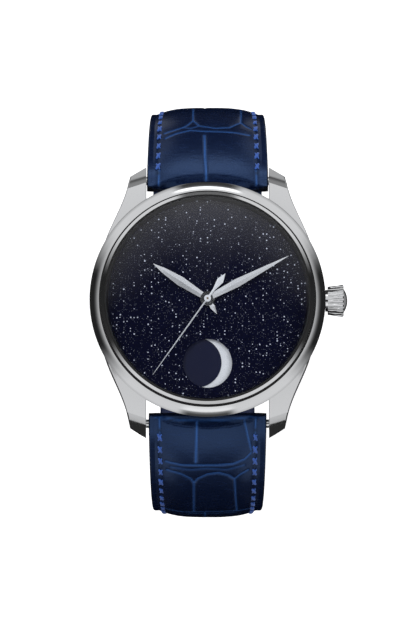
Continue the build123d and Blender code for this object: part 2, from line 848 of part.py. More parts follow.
with BuildPart() as main_plate:
    with BuildSketch(Plane.XY.offset(plate_bottom_z)):
        Circle(plate_radius)
        Circle(seconds_arbor_radius + run_clear, mode=Mode.SUBTRACT)
        with Locations(second_at):
            Circle(arbor_radius + run_clear, mode=Mode.SUBTRACT)
    extrude(amount=plate_top_z - plate_bottom_z)
    with BuildSketch(Plane.XY.offset(plate_bottom_z)):
        with Locations(barrel_at):
            Circle(barrel_pivot_radius + run_clear)
    extrude(amount=barrel_pivot_length, mode=Mode.SUBTRACT)
    with BuildSketch(Plane.XY.offset(plate_bottom_z)):
        with Locations(*plate_pivots):
            Circle(jewel_radius)
    extrude(amount=jewel_height, mode=Mode.SUBTRACT)
    with BuildSketch(Plane.XY.offset(bridge_bottom_z)):
        Circle(plate_radius)
        Circle(plate_wall_radius, mode=Mode.SUBTRACT)
        with Locations(barrel_at):
            Circle(
                (barrel_teeth / 2 + 1) * barrel_module + balance_pocket_clear, mode=Mode.SUBTRACT
            )
        with Locations(balance_at):
            Circle(balance_radius + balance_pocket_clear, mode=Mode.SUBTRACT)
    extrude(amount=plate_bottom_z - bridge_bottom_z)
    with BuildSketch(Plane.XY.offset(plate_top_z)):
        Circle(plate_radius)
        Circle(plate_radius - plate_rim_width, mode=Mode.SUBTRACT)
    extrude(amount=moon_ring_z - stack_gap - plate_top_z)
    # Channels for the stem and its two pinions
    with BuildSketch(Plane.YZ.offset(stem_inner_x)):
        with Locations((0, crown_z)):
            Circle(stem_radius + 2 * run_clear)
    extrude(amount=plate_radius, mode=Mode.SUBTRACT)
    with BuildSketch(Plane.YZ.offset(stem_inner_x)):
        with Locations((0, crown_z)):
            Circle(stem_pivot_radius + run_clear)
    extrude(amount=-stem_pivot_length, mode=Mode.SUBTRACT)
    channel_start_x = winding_pinion_x - sliding_pinion_length - clutch_groove
    with BuildSketch(Plane.YZ.offset(channel_start_x)):
        with Locations((0, crown_z)):
            Circle(keyless_channel_radius)
    extrude(
        amount=winding_pinion_x + winding_pinion_length + pinion_step - channel_start_x,
        mode=Mode.SUBTRACT,
    )
    # Blind holes for the pivots of the motion works, and for the bridge screws in the wall
    with BuildSketch(Plane.XY.offset(plate_top_z - motion_pivot_length)):
        with Locations(*motion_pivots):
            Circle(motion_pivot_radius + run_clear)
    extrude(amount=motion_pivot_length, mode=Mode.SUBTRACT)
    with BuildSketch(Plane.XY.offset(bridge_bottom_z)):
        with Locations(*screw_places):
            Circle(bridge_screw_shank)
    extrude(amount=bridge_screw_reach - bridge_bottom_z + bridge_top_z, mode=Mode.SUBTRACT)
main_plate.part.label = "main_plate"
export_step(main_plate.part, "parts/main_plate.step")


def arbor(at, low_z, high_z, low_pivot=True, high_pivot=True):
    """A train arbor between two plates, with its thin pivots in their jewels."""
    pivot_length = jewel_height - seat_clear
    with BuildPart() as shaft:
        with BuildSketch(Plane.XY.offset(low_z + stack_gap)):
            with Locations(at):
                Circle(arbor_radius)
        extrude(amount=high_z - low_z - 2 * stack_gap)
        if low_pivot:
            with BuildSketch(Plane.XY.offset(low_z - pivot_length)):
                with Locations(at):
                    Circle(pivot_radius)
            extrude(amount=pivot_length + 2 * stack_gap)
        if high_pivot:
            with BuildSketch(Plane.XY.offset(high_z - 2 * stack_gap)):
                with Locations(at):
                    Circle(pivot_radius)
            extrude(amount=pivot_length + 2 * stack_gap)
    return shaft.part


def toothed_disc(at, low_z, thick, teeth, module, phase=0.0, bore=0.0):
    """A toothed wheel or pinion as a solid of its own, bored where a bore is given."""
    with BuildPart() as disc:
        with BuildSketch(Plane.XY.offset(low_z)):
            with Locations(at):
                add(wheel_face(teeth, module, phase))
                if bore:
                    Circle(bore, mode=Mode.SUBTRACT)
        extrude(amount=thick)
    return disc.part


def spoked_wheel(at, low_z, thick, teeth, module, phase=0.0, spokes=wheel_spokes):
    """A train wheel with round windows that leave its spokes, its rim and its hub."""
    rim_radius = teeth * module / 2 - wheel_rim_width
    window_radius = min(
        (rim_radius - hub_radius) / 2,
        (rim_radius + hub_radius) / 2 * sin(pi / spokes) - arbor_radius,
    )
    with BuildPart() as wheel:
        add(toothed_disc(at, low_z, thick, teeth, module, phase))
        with BuildSketch(Plane.XY.offset(low_z)):
            with Locations(at):
                with PolarLocations((rim_radius + hub_radius) / 2, spokes):
                    Circle(window_radius)
        extrude(amount=thick, mode=Mode.SUBTRACT)
    return wheel.part


def clock_part(part, clock_angle):
    """Turns a piece drawn along +X to a clock angle."""
    return part.rotate(Axis.Z, 90 - clock_angle)


def leaf_hand(length, half_width, width_shares, low_z, tail=False):
    """A faceted leaf along +X with a ridge down its middle, lofted through five-sided sections."""
    with BuildPart() as leaf:
        for along_share, wide_share in width_shares:
            reach = along_share * length * (-1 if tail else 1)
            half = wide_share * half_width
            ridge = hand_edge + hand_ridge * min(1.0, half / half_width + hand_edge)
            with BuildSketch(Plane(origin=(reach, 0, low_z), x_dir=(0, 1, 0), z_dir=(1, 0, 0))):
                with BuildLine():
                    Polyline(
                        (-half, 0), (half, 0), (half, hand_edge), (0, ridge), (-half, hand_edge), close=True
                    )
                make_face()
        loft(ruled=True)
    return leaf.part


# Bridges on the back of the movement. The line between barrel bridge and train bridge is a chain of points
bridge_radius = plate_radius - seat_clear
split_line_shares = [
    (0.16, 1.05),
    (0.185, 0.56),
    (0.21, 0.26),
    (0.136, 0.10),
    (0.16, -0.16),
    (0.27, -0.41),
    (0.31, -1.05),
]
split_line = [(x * plate_radius, y * plate_radius) for x, y in split_line_shares]
far_corner_share = 1.1
balance_edge_shares = [(0.20, -0.45), (-0.05, -0.44), (-0.59, -0.37), (-1.05, -0.37)]
balance_edge = [(x * plate_radius, y * plate_radius) for x, y in balance_edge_shares]
far_corner = far_corner_share * plate_radius

# Place and outline of the balance cock, which the train bridge leaves room for
cock_foot_at = polar(bridge_screw_circle, cock_screw_angle)
cock_angle = bearing(balance_at, cock_foot_at)
cock_reach = hypot(cock_foot_at[0] - balance_at[0], cock_foot_at[1] - balance_at[1])


def cock_outline(margin):
    """The balance cock seen from above, grown by a margin."""
    near = cock_width / 2 + margin
    foot = cock_foot_width / 2 + margin
    end = cock_reach + cock_width
    local = [(0, -near), (cock_reach, -foot), (end, -foot), (end, foot), (cock_reach, foot), (0, near)]
    return [placed(balance_at, cock_angle, point) for point in local]


with BuildPart() as barrel_bridge:
    with BuildSketch(Plane.XY.offset(bridge_top_z)):
        Circle(bridge_radius)
        with BuildLine():
            Polyline(*split_line, (far_corner, -far_corner), (far_corner, far_corner), close=True)
        make_face(mode=Mode.INTERSECT)
        with Locations(barrel_at):
            Circle(barrel_pivot_radius + run_clear, mode=Mode.SUBTRACT)
        with Locations(crown_wheel_at):
            Circle(
                winding_mesh_radius + face_ring_width / 2 + 2 * run_clear, mode=Mode.SUBTRACT
            )
        with Locations(*screw_places):
            Circle(bridge_screw_shank, mode=Mode.SUBTRACT)
    extrude(amount=bridge_bottom_z - bridge_top_z)
    with BuildSketch(Plane.XY.offset(bridge_top_z)):
        with Locations(click_at):
            Circle(click_pin_radius)
    extrude(amount=click_pin_depth, mode=Mode.SUBTRACT)
barrel_bridge.part.label = "barrel_bridge"
export_step(barrel_bridge.part, "parts/barrel_bridge.step")

with BuildPart() as train_bridge:
    with BuildSketch(Plane.XY.offset(bridge_top_z)):
        Circle(bridge_radius)
        with BuildLine():
            shifted = [(x - bridge_gap, y) for x, y in split_line[:-1]]
            Polyline(
                *shifted,
                *balance_edge,
                (-far_corner, far_corner),
                close=True,
            )
        make_face(mode=Mode.INTERSECT)
        with BuildLine():
            Polyline(*cock_outline(bridge_gap), close=True)
        make_face(mode=Mode.SUBTRACT)
        with Locations(balance_at):
            Circle(balance_radius + balance_pocket_clear, mode=Mode.SUBTRACT)
        with Locations(*train_bridge_pivots):
            Circle(jewel_radius, mode=Mode.SUBTRACT)
        with Locations(*screw_places):
            Circle(bridge_screw_shank, mode=Mode.SUBTRACT)
    extrude(amount=bridge_bottom_z - bridge_top_z)
train_bridge.part.label = "train_bridge"
export_step(train_bridge.part, "parts/train_bridge.step")

# The cock reaches from its foot on the wall over the balance
with BuildPart() as balance_cock:
    with BuildSketch(Plane.XY.offset(bridge_top_z)):
        with BuildLine():
            Polyline(*cock_outline(0), close=True)
        make_face()
        with Locations(balance_at):
            Circle(cock_width / 2)
        Circle(bridge_radius, mode=Mode.INTERSECT)
        with Locations(balance_at):
            Circle(jewel_radius, mode=Mode.SUBTRACT)
        with Locations(cock_foot_at):
            Circle(bridge_screw_shank, mode=Mode.SUBTRACT)
    extrude(amount=cock_bottom_z - bridge_top_z)
    with BuildSketch(Plane.XY.offset(cock_bottom_z)):
        with Locations(Location((*balance_at, 0), (0, 0, cock_angle))):
            with Locations((cock_reach, 0)):
                Rectangle(2 * cock_width, cock_foot_width)
        Circle(bridge_radius, mode=Mode.INTERSECT)
        Circle(plate_wall_radius, mode=Mode.SUBTRACT)
        with Locations(cock_foot_at):
            Circle(bridge_screw_shank, mode=Mode.SUBTRACT)
    extrude(amount=bridge_bottom_z - cock_bottom_z)
balance_cock.part.label = "balance_cock"
export_step(balance_cock.part, "parts/balance_cock.step")

with BuildPart() as pallet_bridge:
    with BuildSketch(Plane.XY.offset(pallet_bridge_z)):
        with Locations(Location((*pallet_at, 0), (0, 0, escape_angle + 90))):
            SlotCenterToCenter(2 * pallet_bridge_reach, pallet_bridge_width)
            Circle(pivot_radius + run_clear, mode=Mode.SUBTRACT)
    extrude(amount=pallet_bridge_thick)
    with BuildSketch(Plane.XY.offset(pallet_bridge_z + pallet_bridge_thick)):
        with Locations(Location((*pallet_at, 0), (0, 0, escape_angle + 90))):
            with Locations((pallet_bridge_reach, 0), (-pallet_bridge_reach, 0)):
                Circle(pallet_bridge_width / 2)
    extrude(amount=plate_bottom_z - pallet_bridge_z - pallet_bridge_thick)
pallet_bridge.part.label = "pallet_bridge"
export_step(pallet_bridge.part, "parts/pallet_bridge.step")

with BuildPart() as bridge_screws:
    with Locations(*[(x, y, bridge_top_z) for x, y in screw_places]):
        Cylinder(
            bridge_screw_radius,
            bridge_screw_height,
            align=(Align.CENTER, Align.CENTER, Align.MAX),
        )
        Cylinder(
            bridge_screw_shank, bridge_screw_reach, align=(Align.CENTER, Align.CENTER, Align.MIN)
        )
    with Locations(*[(x, y, bridge_top_z - bridge_screw_height) for x, y in screw_places]):
        Box(
            2 * bridge_screw_radius,
            slot_width,
            2 * slot_depth,
            mode=Mode.SUBTRACT,
        )
bridge_screws.part.label = "bridge_screws"
export_step(bridge_screws.part, "parts/bridge_screws.step")

with BuildPart() as jewels:
    with BuildSketch(Plane.XY.offset(plate_bottom_z)):
        with Locations(*plate_pivots):
            Circle(jewel_radius)
            Circle(pivot_radius + run_clear, mode=Mode.SUBTRACT)
    extrude(amount=jewel_height)
    with BuildSketch(Plane.XY.offset(bridge_bottom_z)):
        with Locations(*train_bridge_pivots):
            Circle(jewel_radius)
            Circle(pivot_radius + run_clear, mode=Mode.SUBTRACT)
    extrude(amount=-jewel_height)
    with BuildSketch(Plane.XY.offset(cock_bottom_z)):
        with Locations(balance_at):
            Circle(jewel_radius)
            Circle(pivot_radius + run_clear, mode=Mode.SUBTRACT)
    extrude(amount=-jewel_height)
jewels.part.label = "jewels"
export_step(jewels.part, "parts/jewels.step")

# Winding: the ratchet wheel on the barrel arbor, the crown wheel with its face teeth, and the click
winding_wheel_z = bridge_top_z - winding_wheel_lift - winding_wheel_thick
with BuildPart() as ratchet_wheel:
    add(
        toothed_disc(
            barrel_at, winding_wheel_z, winding_wheel_thick, ratchet_teeth, winding_wheel_module
        )
    )
    with BuildSketch(Plane.XY.offset(winding_wheel_z)):
        with Locations(barrel_at):
            Rectangle(ratchet_square + seat_clear, ratchet_square + seat_clear)
    extrude(amount=winding_wheel_thick, mode=Mode.SUBTRACT)
ratchet_wheel.part.label = "ratchet_wheel"
export_step(ratchet_wheel.part, "parts/ratchet_wheel.step")

with BuildPart() as barrel_arbor:
    with BuildSketch(Plane.XY.offset(winding_wheel_z - 2 * winding_wheel_lift)):
        with Locations(barrel_at):
            Rectangle(ratchet_square, ratchet_square)
    extrude(amount=winding_wheel_thick + 3 * winding_wheel_lift)
    with BuildSketch(Plane.XY.offset(bridge_top_z - winding_wheel_lift / 2)):
        with Locations(barrel_at):
            Circle(barrel_pivot_radius)
    extrude(amount=plate_bottom_z + barrel_pivot_length - stack_gap - bridge_top_z)
    with BuildSketch(Plane.XY.offset(barrel_bottom_z + barrel_wall + stack_gap)):
        with Locations(barrel_at):
            Circle(barrel_arbor_radius)
    extrude(amount=barrel_height - 2 * barrel_wall - 2 * stack_gap)
barrel_arbor.part.label = "barrel_arbor"
export_step(barrel_arbor.part, "parts/barrel_arbor.step")

winding_pinion_radius = winding_teeth * winding_module / 2
face_tip_z = crown_z - winding_pinion_radius - pinion_step
with BuildPart() as crown_wheel:
    add(
        toothed_disc(
            crown_wheel_at,
            winding_wheel_z,
            winding_wheel_thick,
            crown_wheel_teeth,
            winding_wheel_module,
            crown_wheel_phase,
        )
    )
    with BuildSketch(Plane.XY.offset(winding_wheel_z + winding_wheel_thick)):
        with Locations(crown_wheel_at):
            Circle(winding_mesh_radius + face_ring_width / 2)
            Circle(winding_mesh_radius - face_ring_width / 2, mode=Mode.SUBTRACT)
    extrude(amount=face_tip_z - face_tooth_height - winding_wheel_z - winding_wheel_thick)
    face_pitch = 2 * pi * winding_mesh_radius / face_teeth
    with BuildSketch(Plane.XY.offset(face_tip_z - face_tooth_height)):
        with Locations(crown_wheel_at):
            with PolarLocations(winding_mesh_radius, face_teeth, start_angle=180 / face_teeth):
                Rectangle(face_ring_width - 2 * seat_clear, face_pitch * face_tooth_share)
    extrude(amount=face_tooth_height)
crown_wheel.part.label = "crown_wheel"
export_step(crown_wheel.part, "parts/crown_wheel.step")

with BuildPart() as click:
    with BuildSketch(Plane.XY.offset(winding_wheel_z)):
        with BuildLine():
            Line(click_at, click_tip_at)
        trace(line_width=click_width / 2)
        with Locations(click_at):
            Circle(click_width / 2)
        with Locations(click_tip_at):
            Circle(click_width / 4)
    extrude(amount=winding_wheel_thick)
    with BuildSketch(Plane.XY.offset(winding_wheel_z)):
        with Locations(click_at):
            Circle(click_pin_radius - run_clear)
    extrude(amount=winding_wheel_thick + winding_wheel_lift + click_pin_depth - stack_gap)
click.part.label = "click"
export_step(click.part, "parts/click.step")

# Keyless works on the stem's axis
with BuildPart() as winding_pinion:
    with BuildSketch(Plane.YZ.offset(winding_pinion_x)):
        with Locations((0, crown_z)):
            add(wheel_face(winding_teeth, winding_module, 270 + 180 / winding_teeth))
            Circle(stem_radius + run_clear, mode=Mode.SUBTRACT)
    extrude(amount=winding_pinion_length)
winding_pinion.part.label = "winding_pinion"
export_step(winding_pinion.part, "parts/winding_pinion.step")

with BuildPart() as sliding_pinion:
    sliding_end_x = winding_pinion_x - clutch_gap
    with BuildSketch(Plane.YZ.offset(sliding_end_x - sliding_pinion_length)):
        with Locations((0, crown_z)):
            Circle(winding_pinion_radius - pinion_step)
            Circle(stem_radius + run_clear, mode=Mode.SUBTRACT)
    extrude(amount=sliding_pinion_length)
    with BuildSketch(Plane.YZ.offset(sliding_end_x - sliding_pinion_length / 2)):
        with Locations((0, crown_z)):
            Circle(winding_pinion_radius)
            Circle(winding_pinion_radius - clutch_groove, mode=Mode.SUBTRACT)
    extrude(amount=sliding_pinion_length / 4, mode=Mode.SUBTRACT)
sliding_pinion.part.label = "sliding_pinion"
export_step(sliding_pinion.part, "parts/sliding_pinion.step")

crown_body_x = crown_gap_x + pinion_step
crown_cap_x = crown_body_x + crown_body_length
with BuildPart() as winding_stem:
    with BuildSketch(Plane.YZ.offset(stem_inner_x)):
        with Locations((0, crown_z)):
            Circle(stem_radius)
    extrude(amount=crown_body_x + crown_recess_depth - stem_inner_x)
    with BuildSketch(Plane.YZ.offset(stem_inner_x - stem_pivot_length + stack_gap)):
        with Locations((0, crown_z)):
            Circle(stem_pivot_radius)
    extrude(amount=stem_pivot_length)
winding_stem.part.label = "winding_stem"
export_step(winding_stem.part, "parts/winding_stem.step")

crown_plane = Plane(origin=(0, 0, crown_z), x_dir=(1, 0, 0), z_dir=(0, -1, 0))
crown_axis = Axis((0, 0, crown_z), (1, 0, 0))
with BuildPart() as crown_flute:
    with BuildSketch(Plane.YZ.offset(crown_body_x - cut_over)):
        with Locations((0, crown_z + crown_small_radius + crown_flute_radius / 2)):
            Circle(crown_flute_radius)
    with BuildSketch(Plane.YZ.offset(crown_cap_x + cut_over)):
        with Locations((0, crown_z + crown_large_radius + crown_flute_radius / 2)):
            Circle(crown_flute_radius)
    loft()
with BuildPart() as crown:
    with BuildSketch(crown_plane):
        with BuildLine():
            cap_end_x = crown_cap_x + crown_cap_length
            Polyline(
                (crown_pipe_x, 0),
                (crown_pipe_x, crown_neck_radius),
                (crown_neck_x, crown_neck_radius),
                (crown_neck_x, crown_collar_radius),
                (crown_body_x, crown_collar_radius),
                (crown_body_x, crown_small_radius),
                (crown_cap_x - crown_cap_round / 2, crown_large_radius),
                (crown_cap_x, crown_large_radius - crown_cap_round / 2),
                (crown_cap_x, crown_cap_radius),
            )
            RadiusArc(
                (crown_cap_x, crown_cap_radius),
                (cap_end_x, 0),
                (crown_cap_radius**2 + crown_cap_length**2) / (2 * crown_cap_length),
            )
            Line((cap_end_x, 0), (crown_pipe_x, 0))
        make_face()
    revolve(axis=crown_axis)
    for i in range(crown_flutes):
        add(crown_flute.part.rotate(crown_axis, i * 360 / crown_flutes), mode=Mode.SUBTRACT)
    with BuildSketch(Plane.YZ.offset(crown_pipe_x)):
        with Locations((0, crown_z)):
            Circle(stem_radius)
    extrude(amount=crown_body_x + crown_recess_depth - crown_pipe_x, mode=Mode.SUBTRACT)
crown.part.label = "crown"
export_step(crown.part, "parts/crown.step")

# Barrel: a closed drum with a toothed flange, and the mainspring inside it
barrel_root_radius = (barrel_teeth / 2 - 2) * barrel_module
drum_radius = barrel_root_radius - seat_clear
with BuildPart() as barrel:
    with BuildSketch(Plane.XY.offset(barrel_bottom_z)):
        with Locations(barrel_at):
            Circle(drum_radius)
    extrude(amount=barrel_height)
    add(
        toothed_disc(
            barrel_at,
            barrel_bottom_z + barrel_wall,
            barrel_tooth_height,
            barrel_teeth,
            barrel_module,
        )
    )
    with BuildSketch(Plane.XY.offset(barrel_bottom_z + barrel_wall)):
        with Locations(barrel_at):
            Circle(drum_radius - barrel_wall)
    extrude(amount=barrel_height - 2 * barrel_wall, mode=Mode.SUBTRACT)
    with BuildSketch(Plane.XY.offset(barrel_bottom_z)):
        with Locations(barrel_at):
            Circle(barrel_pivot_radius + run_clear)
    extrude(amount=barrel_height, mode=Mode.SUBTRACT)
barrel.part.label = "barrel"
export_step(barrel.part, "parts/barrel.step")

mainspring_start = barrel_arbor_radius + barrel_wall
with BuildPart() as mainspring:
    with BuildSketch(Plane.XY.offset(barrel_bottom_z + barrel_wall + 2 * stack_gap)):
        with BuildLine():
            spring_line(barrel_at, mainspring_start, mainspring_pitch, mainspring_half_turns)
        trace(line_width=mainspring_thick)
    extrude(amount=mainspring_height)
mainspring.part.label = "mainspring"
export_step(mainspring.part, "parts/mainspring.step")
mainspring_gap = least_spiral_gap(
    mainspring_start, mainspring_pitch, mainspring_half_turns, mainspring_thick
)
print("mainspring least gap", round(mainspring_gap, 3))

# Going train wheels, each with its pinion and arbor
with BuildPart() as second_wheel:
    add(spoked_wheel(second_at, second_wheel_z, wheel_thick, second_teeth, second_module))
    second_pinion_z = barrel_bottom_z + barrel_wall - leaf_over / 2
    add(
        toothed_disc(
            second_at,
            second_pinion_z,
            barrel_tooth_height + leaf_over,
            second_pinion_leaves,
            barrel_module,
            second_pinion_phase,
        )
    )
    add(arbor(second_at, bridge_bottom_z, plate_bottom_z, high_pivot=False))
    with BuildSketch(Plane.XY.offset(plate_bottom_z - 2 * stack_gap)):
        with Locations(second_at):
            Circle(arbor_radius)
    extrude(amount=motion_base_z + motion_thick - plate_bottom_z + 2 * stack_gap)
second_wheel.part.label = "second_wheel"
export_step(second_wheel.part, "parts/second_wheel.step")

with BuildPart() as third_wheel:
    add(spoked_wheel(third_at, third_wheel_z, wheel_thick, third_teeth, third_module))
    add(
        toothed_disc(
            third_at,
            second_wheel_z - leaf_over,
            wheel_thick + 2 * leaf_over,
            third_pinion_leaves,
            second_module,
            third_pinion_phase,
        )
    )
    add(arbor(third_at, bridge_bottom_z, plate_bottom_z))
third_wheel.part.label = "third_wheel"
export_step(third_wheel.part, "parts/third_wheel.step")

seconds_top_z = seconds_hand_z + hub_thick + seconds_pin_over
with BuildPart() as fourth_wheel:
    add(spoked_wheel(centre_at, fourth_wheel_z, wheel_thick, fourth_teeth, fourth_module))
    add(
        toothed_disc(
            centre_at,
            third_wheel_z - leaf_over,
            wheel_thick + 2 * leaf_over,
            fourth_pinion_leaves,
            third_module,
            fourth_pinion_phase,
        )
    )
    add(arbor(centre_at, bridge_bottom_z, plate_bottom_z, high_pivot=False))
    with BuildSketch(Plane.XY.offset(third_wheel_z)):
        Circle(seconds_arbor_radius)
    extrude(amount=seconds_top_z - third_wheel_z)
fourth_wheel.part.label = "fourth_wheel"
export_step(fourth_wheel.part, "parts/fourth_wheel.step")


def escape_face():
    """The escape wheel's outline: a ring with leaning, pointed teeth, its spokes and its hub."""
    root_radius = escape_radius - escape_tooth_height
    pitch_angle = 360 / escape_teeth
    lean_share = 0.25
    base_share = 0.45
    tip_share = 0.08
    points = []
    for i in range(escape_teeth):
        middle = i * pitch_angle
        points.append(polar(root_radius, middle - base_share * pitch_angle))
        points.append(polar(escape_radius, middle + lean_share * pitch_angle))
        points.append(polar(escape_radius, middle + (lean_share + tip_share) * pitch_angle))
        points.append(polar(root_radius, middle))
    with BuildSketch() as outline:
        with BuildLine():
            Polyline(*points, close=True)
        make_face()
        inner_radius = root_radius - escape_rim_width
        window_radius = (inner_radius - arbor_radius) / 2 - seat_clear
        with PolarLocations((inner_radius + arbor_radius) / 2 + seat_clear, escape_windows):
            Circle(window_radius * window_share, mode=Mode.SUBTRACT)
    return outline.sketch


with BuildPart() as escape_wheel:
    with BuildSketch(Plane.XY.offset(escape_z)):
        with Locations(escape_at):
            add(escape_face())
    extrude(amount=escape_thick)
    add(
        toothed_disc(
            escape_at,
            fourth_wheel_z - leaf_over,
            wheel_thick + 2 * leaf_over,
            escape_pinion_leaves,
            fourth_module,
            escape_pinion_phase,
        )
    )
    add(arbor(escape_at, bridge_bottom_z, plate_bottom_z))
escape_wheel.part.label = "escape_wheel"
export_step(escape_wheel.part, "parts/escape_wheel.step")

# Pallet fork: two arms to the stones, a lever to the notch, and its arbor
stone_half_angle = degrees(acos(1 / pallet_span_share))
stone_reach = escape_radius - lock_depth + stone_length / 2
stone_angles = [escape_angle + stone_half_angle, escape_angle - stone_half_angle]
arm_reach = escape_radius + stone_length - fork_width / 2
fork_length = pallet_to_balance - impulse_orbit - impulse_pin_radius - impulse_clear
fork_end_at = polar(pallet_distance + fork_length - fork_width / 2, escape_angle)
with BuildPart() as pallet_fork:
    with BuildSketch(Plane.XY.offset(escape_z)):
        for angle in stone_angles:
            arm_end = polar(arm_reach, angle)
            with BuildLine():
                Line(pallet_at, (escape_at[0] + arm_end[0], escape_at[1] + arm_end[1]))
            trace(line_width=fork_width)
        with BuildLine():
            Line(pallet_at, fork_end_at)
        trace(line_width=fork_width)
        with Locations(pallet_at):
            Circle(fork_width)
        with Locations(Location((*fork_end_at, 0), (0, 0, escape_angle))):
            Rectangle(fork_width, fork_head_width)
            with Locations((fork_width / 2, 0)):
                Circle(2 * impulse_pin_radius, mode=Mode.SUBTRACT)
        for angle in stone_angles:
            middle = polar(stone_reach, angle)
            at = (escape_at[0] + middle[0], escape_at[1] + middle[1])
            with Locations(Location((*at, 0), (0, 0, angle))):
                Rectangle(stone_length, stone_width, mode=Mode.SUBTRACT)
    extrude(amount=fork_thick)
    with BuildSketch(Plane.XY.offset(pallet_bridge_z)):
        with Locations(pallet_at):
            Circle(pivot_radius)
    extrude(amount=plate_bottom_z + jewel_height - seat_clear - pallet_bridge_z)
    with BuildSketch(Plane.XY.offset(pallet_bridge_z + pallet_bridge_thick + run_clear)):
        with Locations(pallet_at):
            Circle(arbor_radius)
    extrude(
        amount=plate_bottom_z - pallet_bridge_z - pallet_bridge_thick - 2 * run_clear
    )
pallet_fork.part.label = "pallet_fork"
export_step(pallet_fork.part, "parts/pallet_fork.step")

with BuildPart() as pallet_stones:
    with BuildSketch(Plane.XY.offset(escape_z - (stone_thick - fork_thick) / 2)):
        for angle in stone_angles:
            middle = polar(stone_reach, angle)
            at = (escape_at[0] + middle[0], escape_at[1] + middle[1])
            with Locations(Location((*at, 0), (0, 0, angle))):
                Rectangle(stone_length, stone_width)
    extrude(amount=stone_thick)
pallet_stones.part.label = "pallet_stones"
export_step(pallet_stones.part, "parts/pallet_stones.step")

with BuildPart() as balance_wheel:
    with BuildSketch(Plane.XY.offset(balance_z)):
        with Locations(balance_at):
            Circle(balance_radius)
            Circle(balance_radius - balance_rim_width, mode=Mode.SUBTRACT)
    extrude(amount=balance_rim_height)
    with BuildSketch(Plane.XY.offset(balance_z + balance_rim_height / 4)):
        with Locations(Location((*balance_at, 0), (0, 0, escape_angle))):
            Rectangle(2 * balance_radius - balance_rim_width, balance_arm_width)
            Circle(2 * balance_hub_radius)
    extrude(amount=balance_rim_height / 2)
    with BuildSketch(Plane.XY.offset(cock_bottom_z + run_clear)):
        with Locations(balance_at):
            Circle(balance_hub_radius)
    extrude(amount=plate_bottom_z - cock_bottom_z - 2 * run_clear)
    with BuildSketch(Plane.XY.offset(cock_bottom_z - jewel_height + seat_clear)):
        with Locations(balance_at):
            Circle(pivot_radius)
    extrude(amount=plate_bottom_z - cock_bottom_z + 2 * jewel_height - 2 * seat_clear)
    with BuildSketch(Plane.XY.offset(roller_z)):
        with Locations(balance_at):
            Circle(roller_radius)
    extrude(amount=roller_thick)
    pin_reach = polar(balance_distance - impulse_orbit, escape_angle)
    with BuildSketch(Plane.XY.offset(roller_z)):
        with Locations(pin_reach):
            Circle(impulse_pin_radius)
    extrude(amount=escape_z + 2 * fork_thick - roller_z)
    for i in range(timing_screw_count):
        turn = escape_angle + (i + 1 / 2) * 360 / timing_screw_count
        out = polar(balance_radius - balance_rim_width / 2, turn)
        screw_plane = Plane(
            origin=(
                balance_at[0] + out[0],
                balance_at[1] + out[1],
                balance_z + balance_rim_height / 2,
            ),
            z_dir=(cos(radians(turn)), sin(radians(turn)), 0),
        )
        with BuildSketch(screw_plane):
            Circle(timing_screw_radius)
        extrude(amount=balance_rim_width / 2 + timing_screw_length)
balance_wheel.part.label = "balance_wheel"
export_step(balance_wheel.part, "parts/balance_wheel.step")

with BuildPart() as hairspring:
    with BuildSketch(Plane.XY.offset(hairspring_z)):
        with BuildLine():
            spring_line(
                balance_at, hairspring_inner_radius, hairspring_pitch, hairspring_half_turns
            )
        trace(line_width=hairspring_wire)
    extrude(amount=hairspring_height)
hairspring.part.label = "hairspring"
export_step(hairspring.part, "parts/hairspring.step")
hairspring_gap = least_spiral_gap(
    hairspring_inner_radius, hairspring_pitch, hairspring_half_turns, hairspring_wire
)
print("hairspring least gap", round(hairspring_gap, 3))

# Motion works: the driving pinion, cannon pinion, minute wheel and hour wheel
with BuildPart() as driving_pinion:
    add(
        toothed_disc(
            second_at,
            motion_base_z,
            motion_thick,
            cannon_teeth,
            motion_module,
            driving_phase,
            arbor_radius + seat_clear,
        )
    )
driving_pinion.part.label = "driving_pinion"
export_step(driving_pinion.part, "parts/driving_pinion.step")

with BuildPart() as cannon_pinion:
    add(toothed_disc(centre_at, motion_base_z, motion_thick, cannon_teeth, motion_module))
    with BuildSketch(Plane.XY.offset(motion_base_z)):
        Circle(cannon_radius)
    extrude(amount=minute_hand_z + hub_thick - motion_base_z)
    with BuildSketch(Plane.XY.offset(motion_base_z)):
        Circle(cannon_bore)
    extrude(amount=minute_hand_z + hub_thick - motion_base_z, mode=Mode.SUBTRACT)
cannon_pinion.part.label = "cannon_pinion"
export_step(cannon_pinion.part, "parts/cannon_pinion.step")

with BuildPart() as minute_wheel:
    add(
        toothed_disc(
            minute_wheel_at,
            motion_base_z,
            motion_thick,
            minute_wheel_teeth,
            motion_module,
            minute_wheel_phase,
        )
    )
    add(
        toothed_disc(
            minute_wheel_at,
            motion_base_z,
            hour_level + motion_thick + leaf_over / 2 - motion_base_z,
            minute_pinion_leaves,
            hour_module,
        )
    )
    with BuildSketch(Plane.XY.offset(plate_top_z - motion_pivot_length + stack_gap)):
        with Locations(minute_wheel_at):
            Circle(motion_pivot_radius)
    extrude(amount=motion_pivot_length)
minute_wheel.part.label = "minute_wheel"
export_step(minute_wheel.part, "parts/minute_wheel.step")

with BuildPart() as hour_wheel:
    add(
        toothed_disc(
            centre_at, hour_level, motion_thick, hour_wheel_teeth, hour_module, hour_wheel_phase
        )
    )
    add(
        toothed_disc(
            centre_at,
            hour_level,
            day_level + motion_thick - hour_level,
            hour_pinion_teeth,
            day_module,
        )
    )
    with BuildSketch(Plane.XY.offset(hour_level)):
        Circle(hour_tube_radius)
    extrude(amount=hour_hand_z + hub_thick - hour_level)
    with BuildSketch(Plane.XY.offset(hour_level)):
        Circle(cannon_radius + tube_gap)
    extrude(amount=hour_hand_z + hub_thick - hour_level, mode=Mode.SUBTRACT)
hour_wheel.part.label = "hour_wheel"
export_step(hour_wheel.part, "parts/hour_wheel.step")

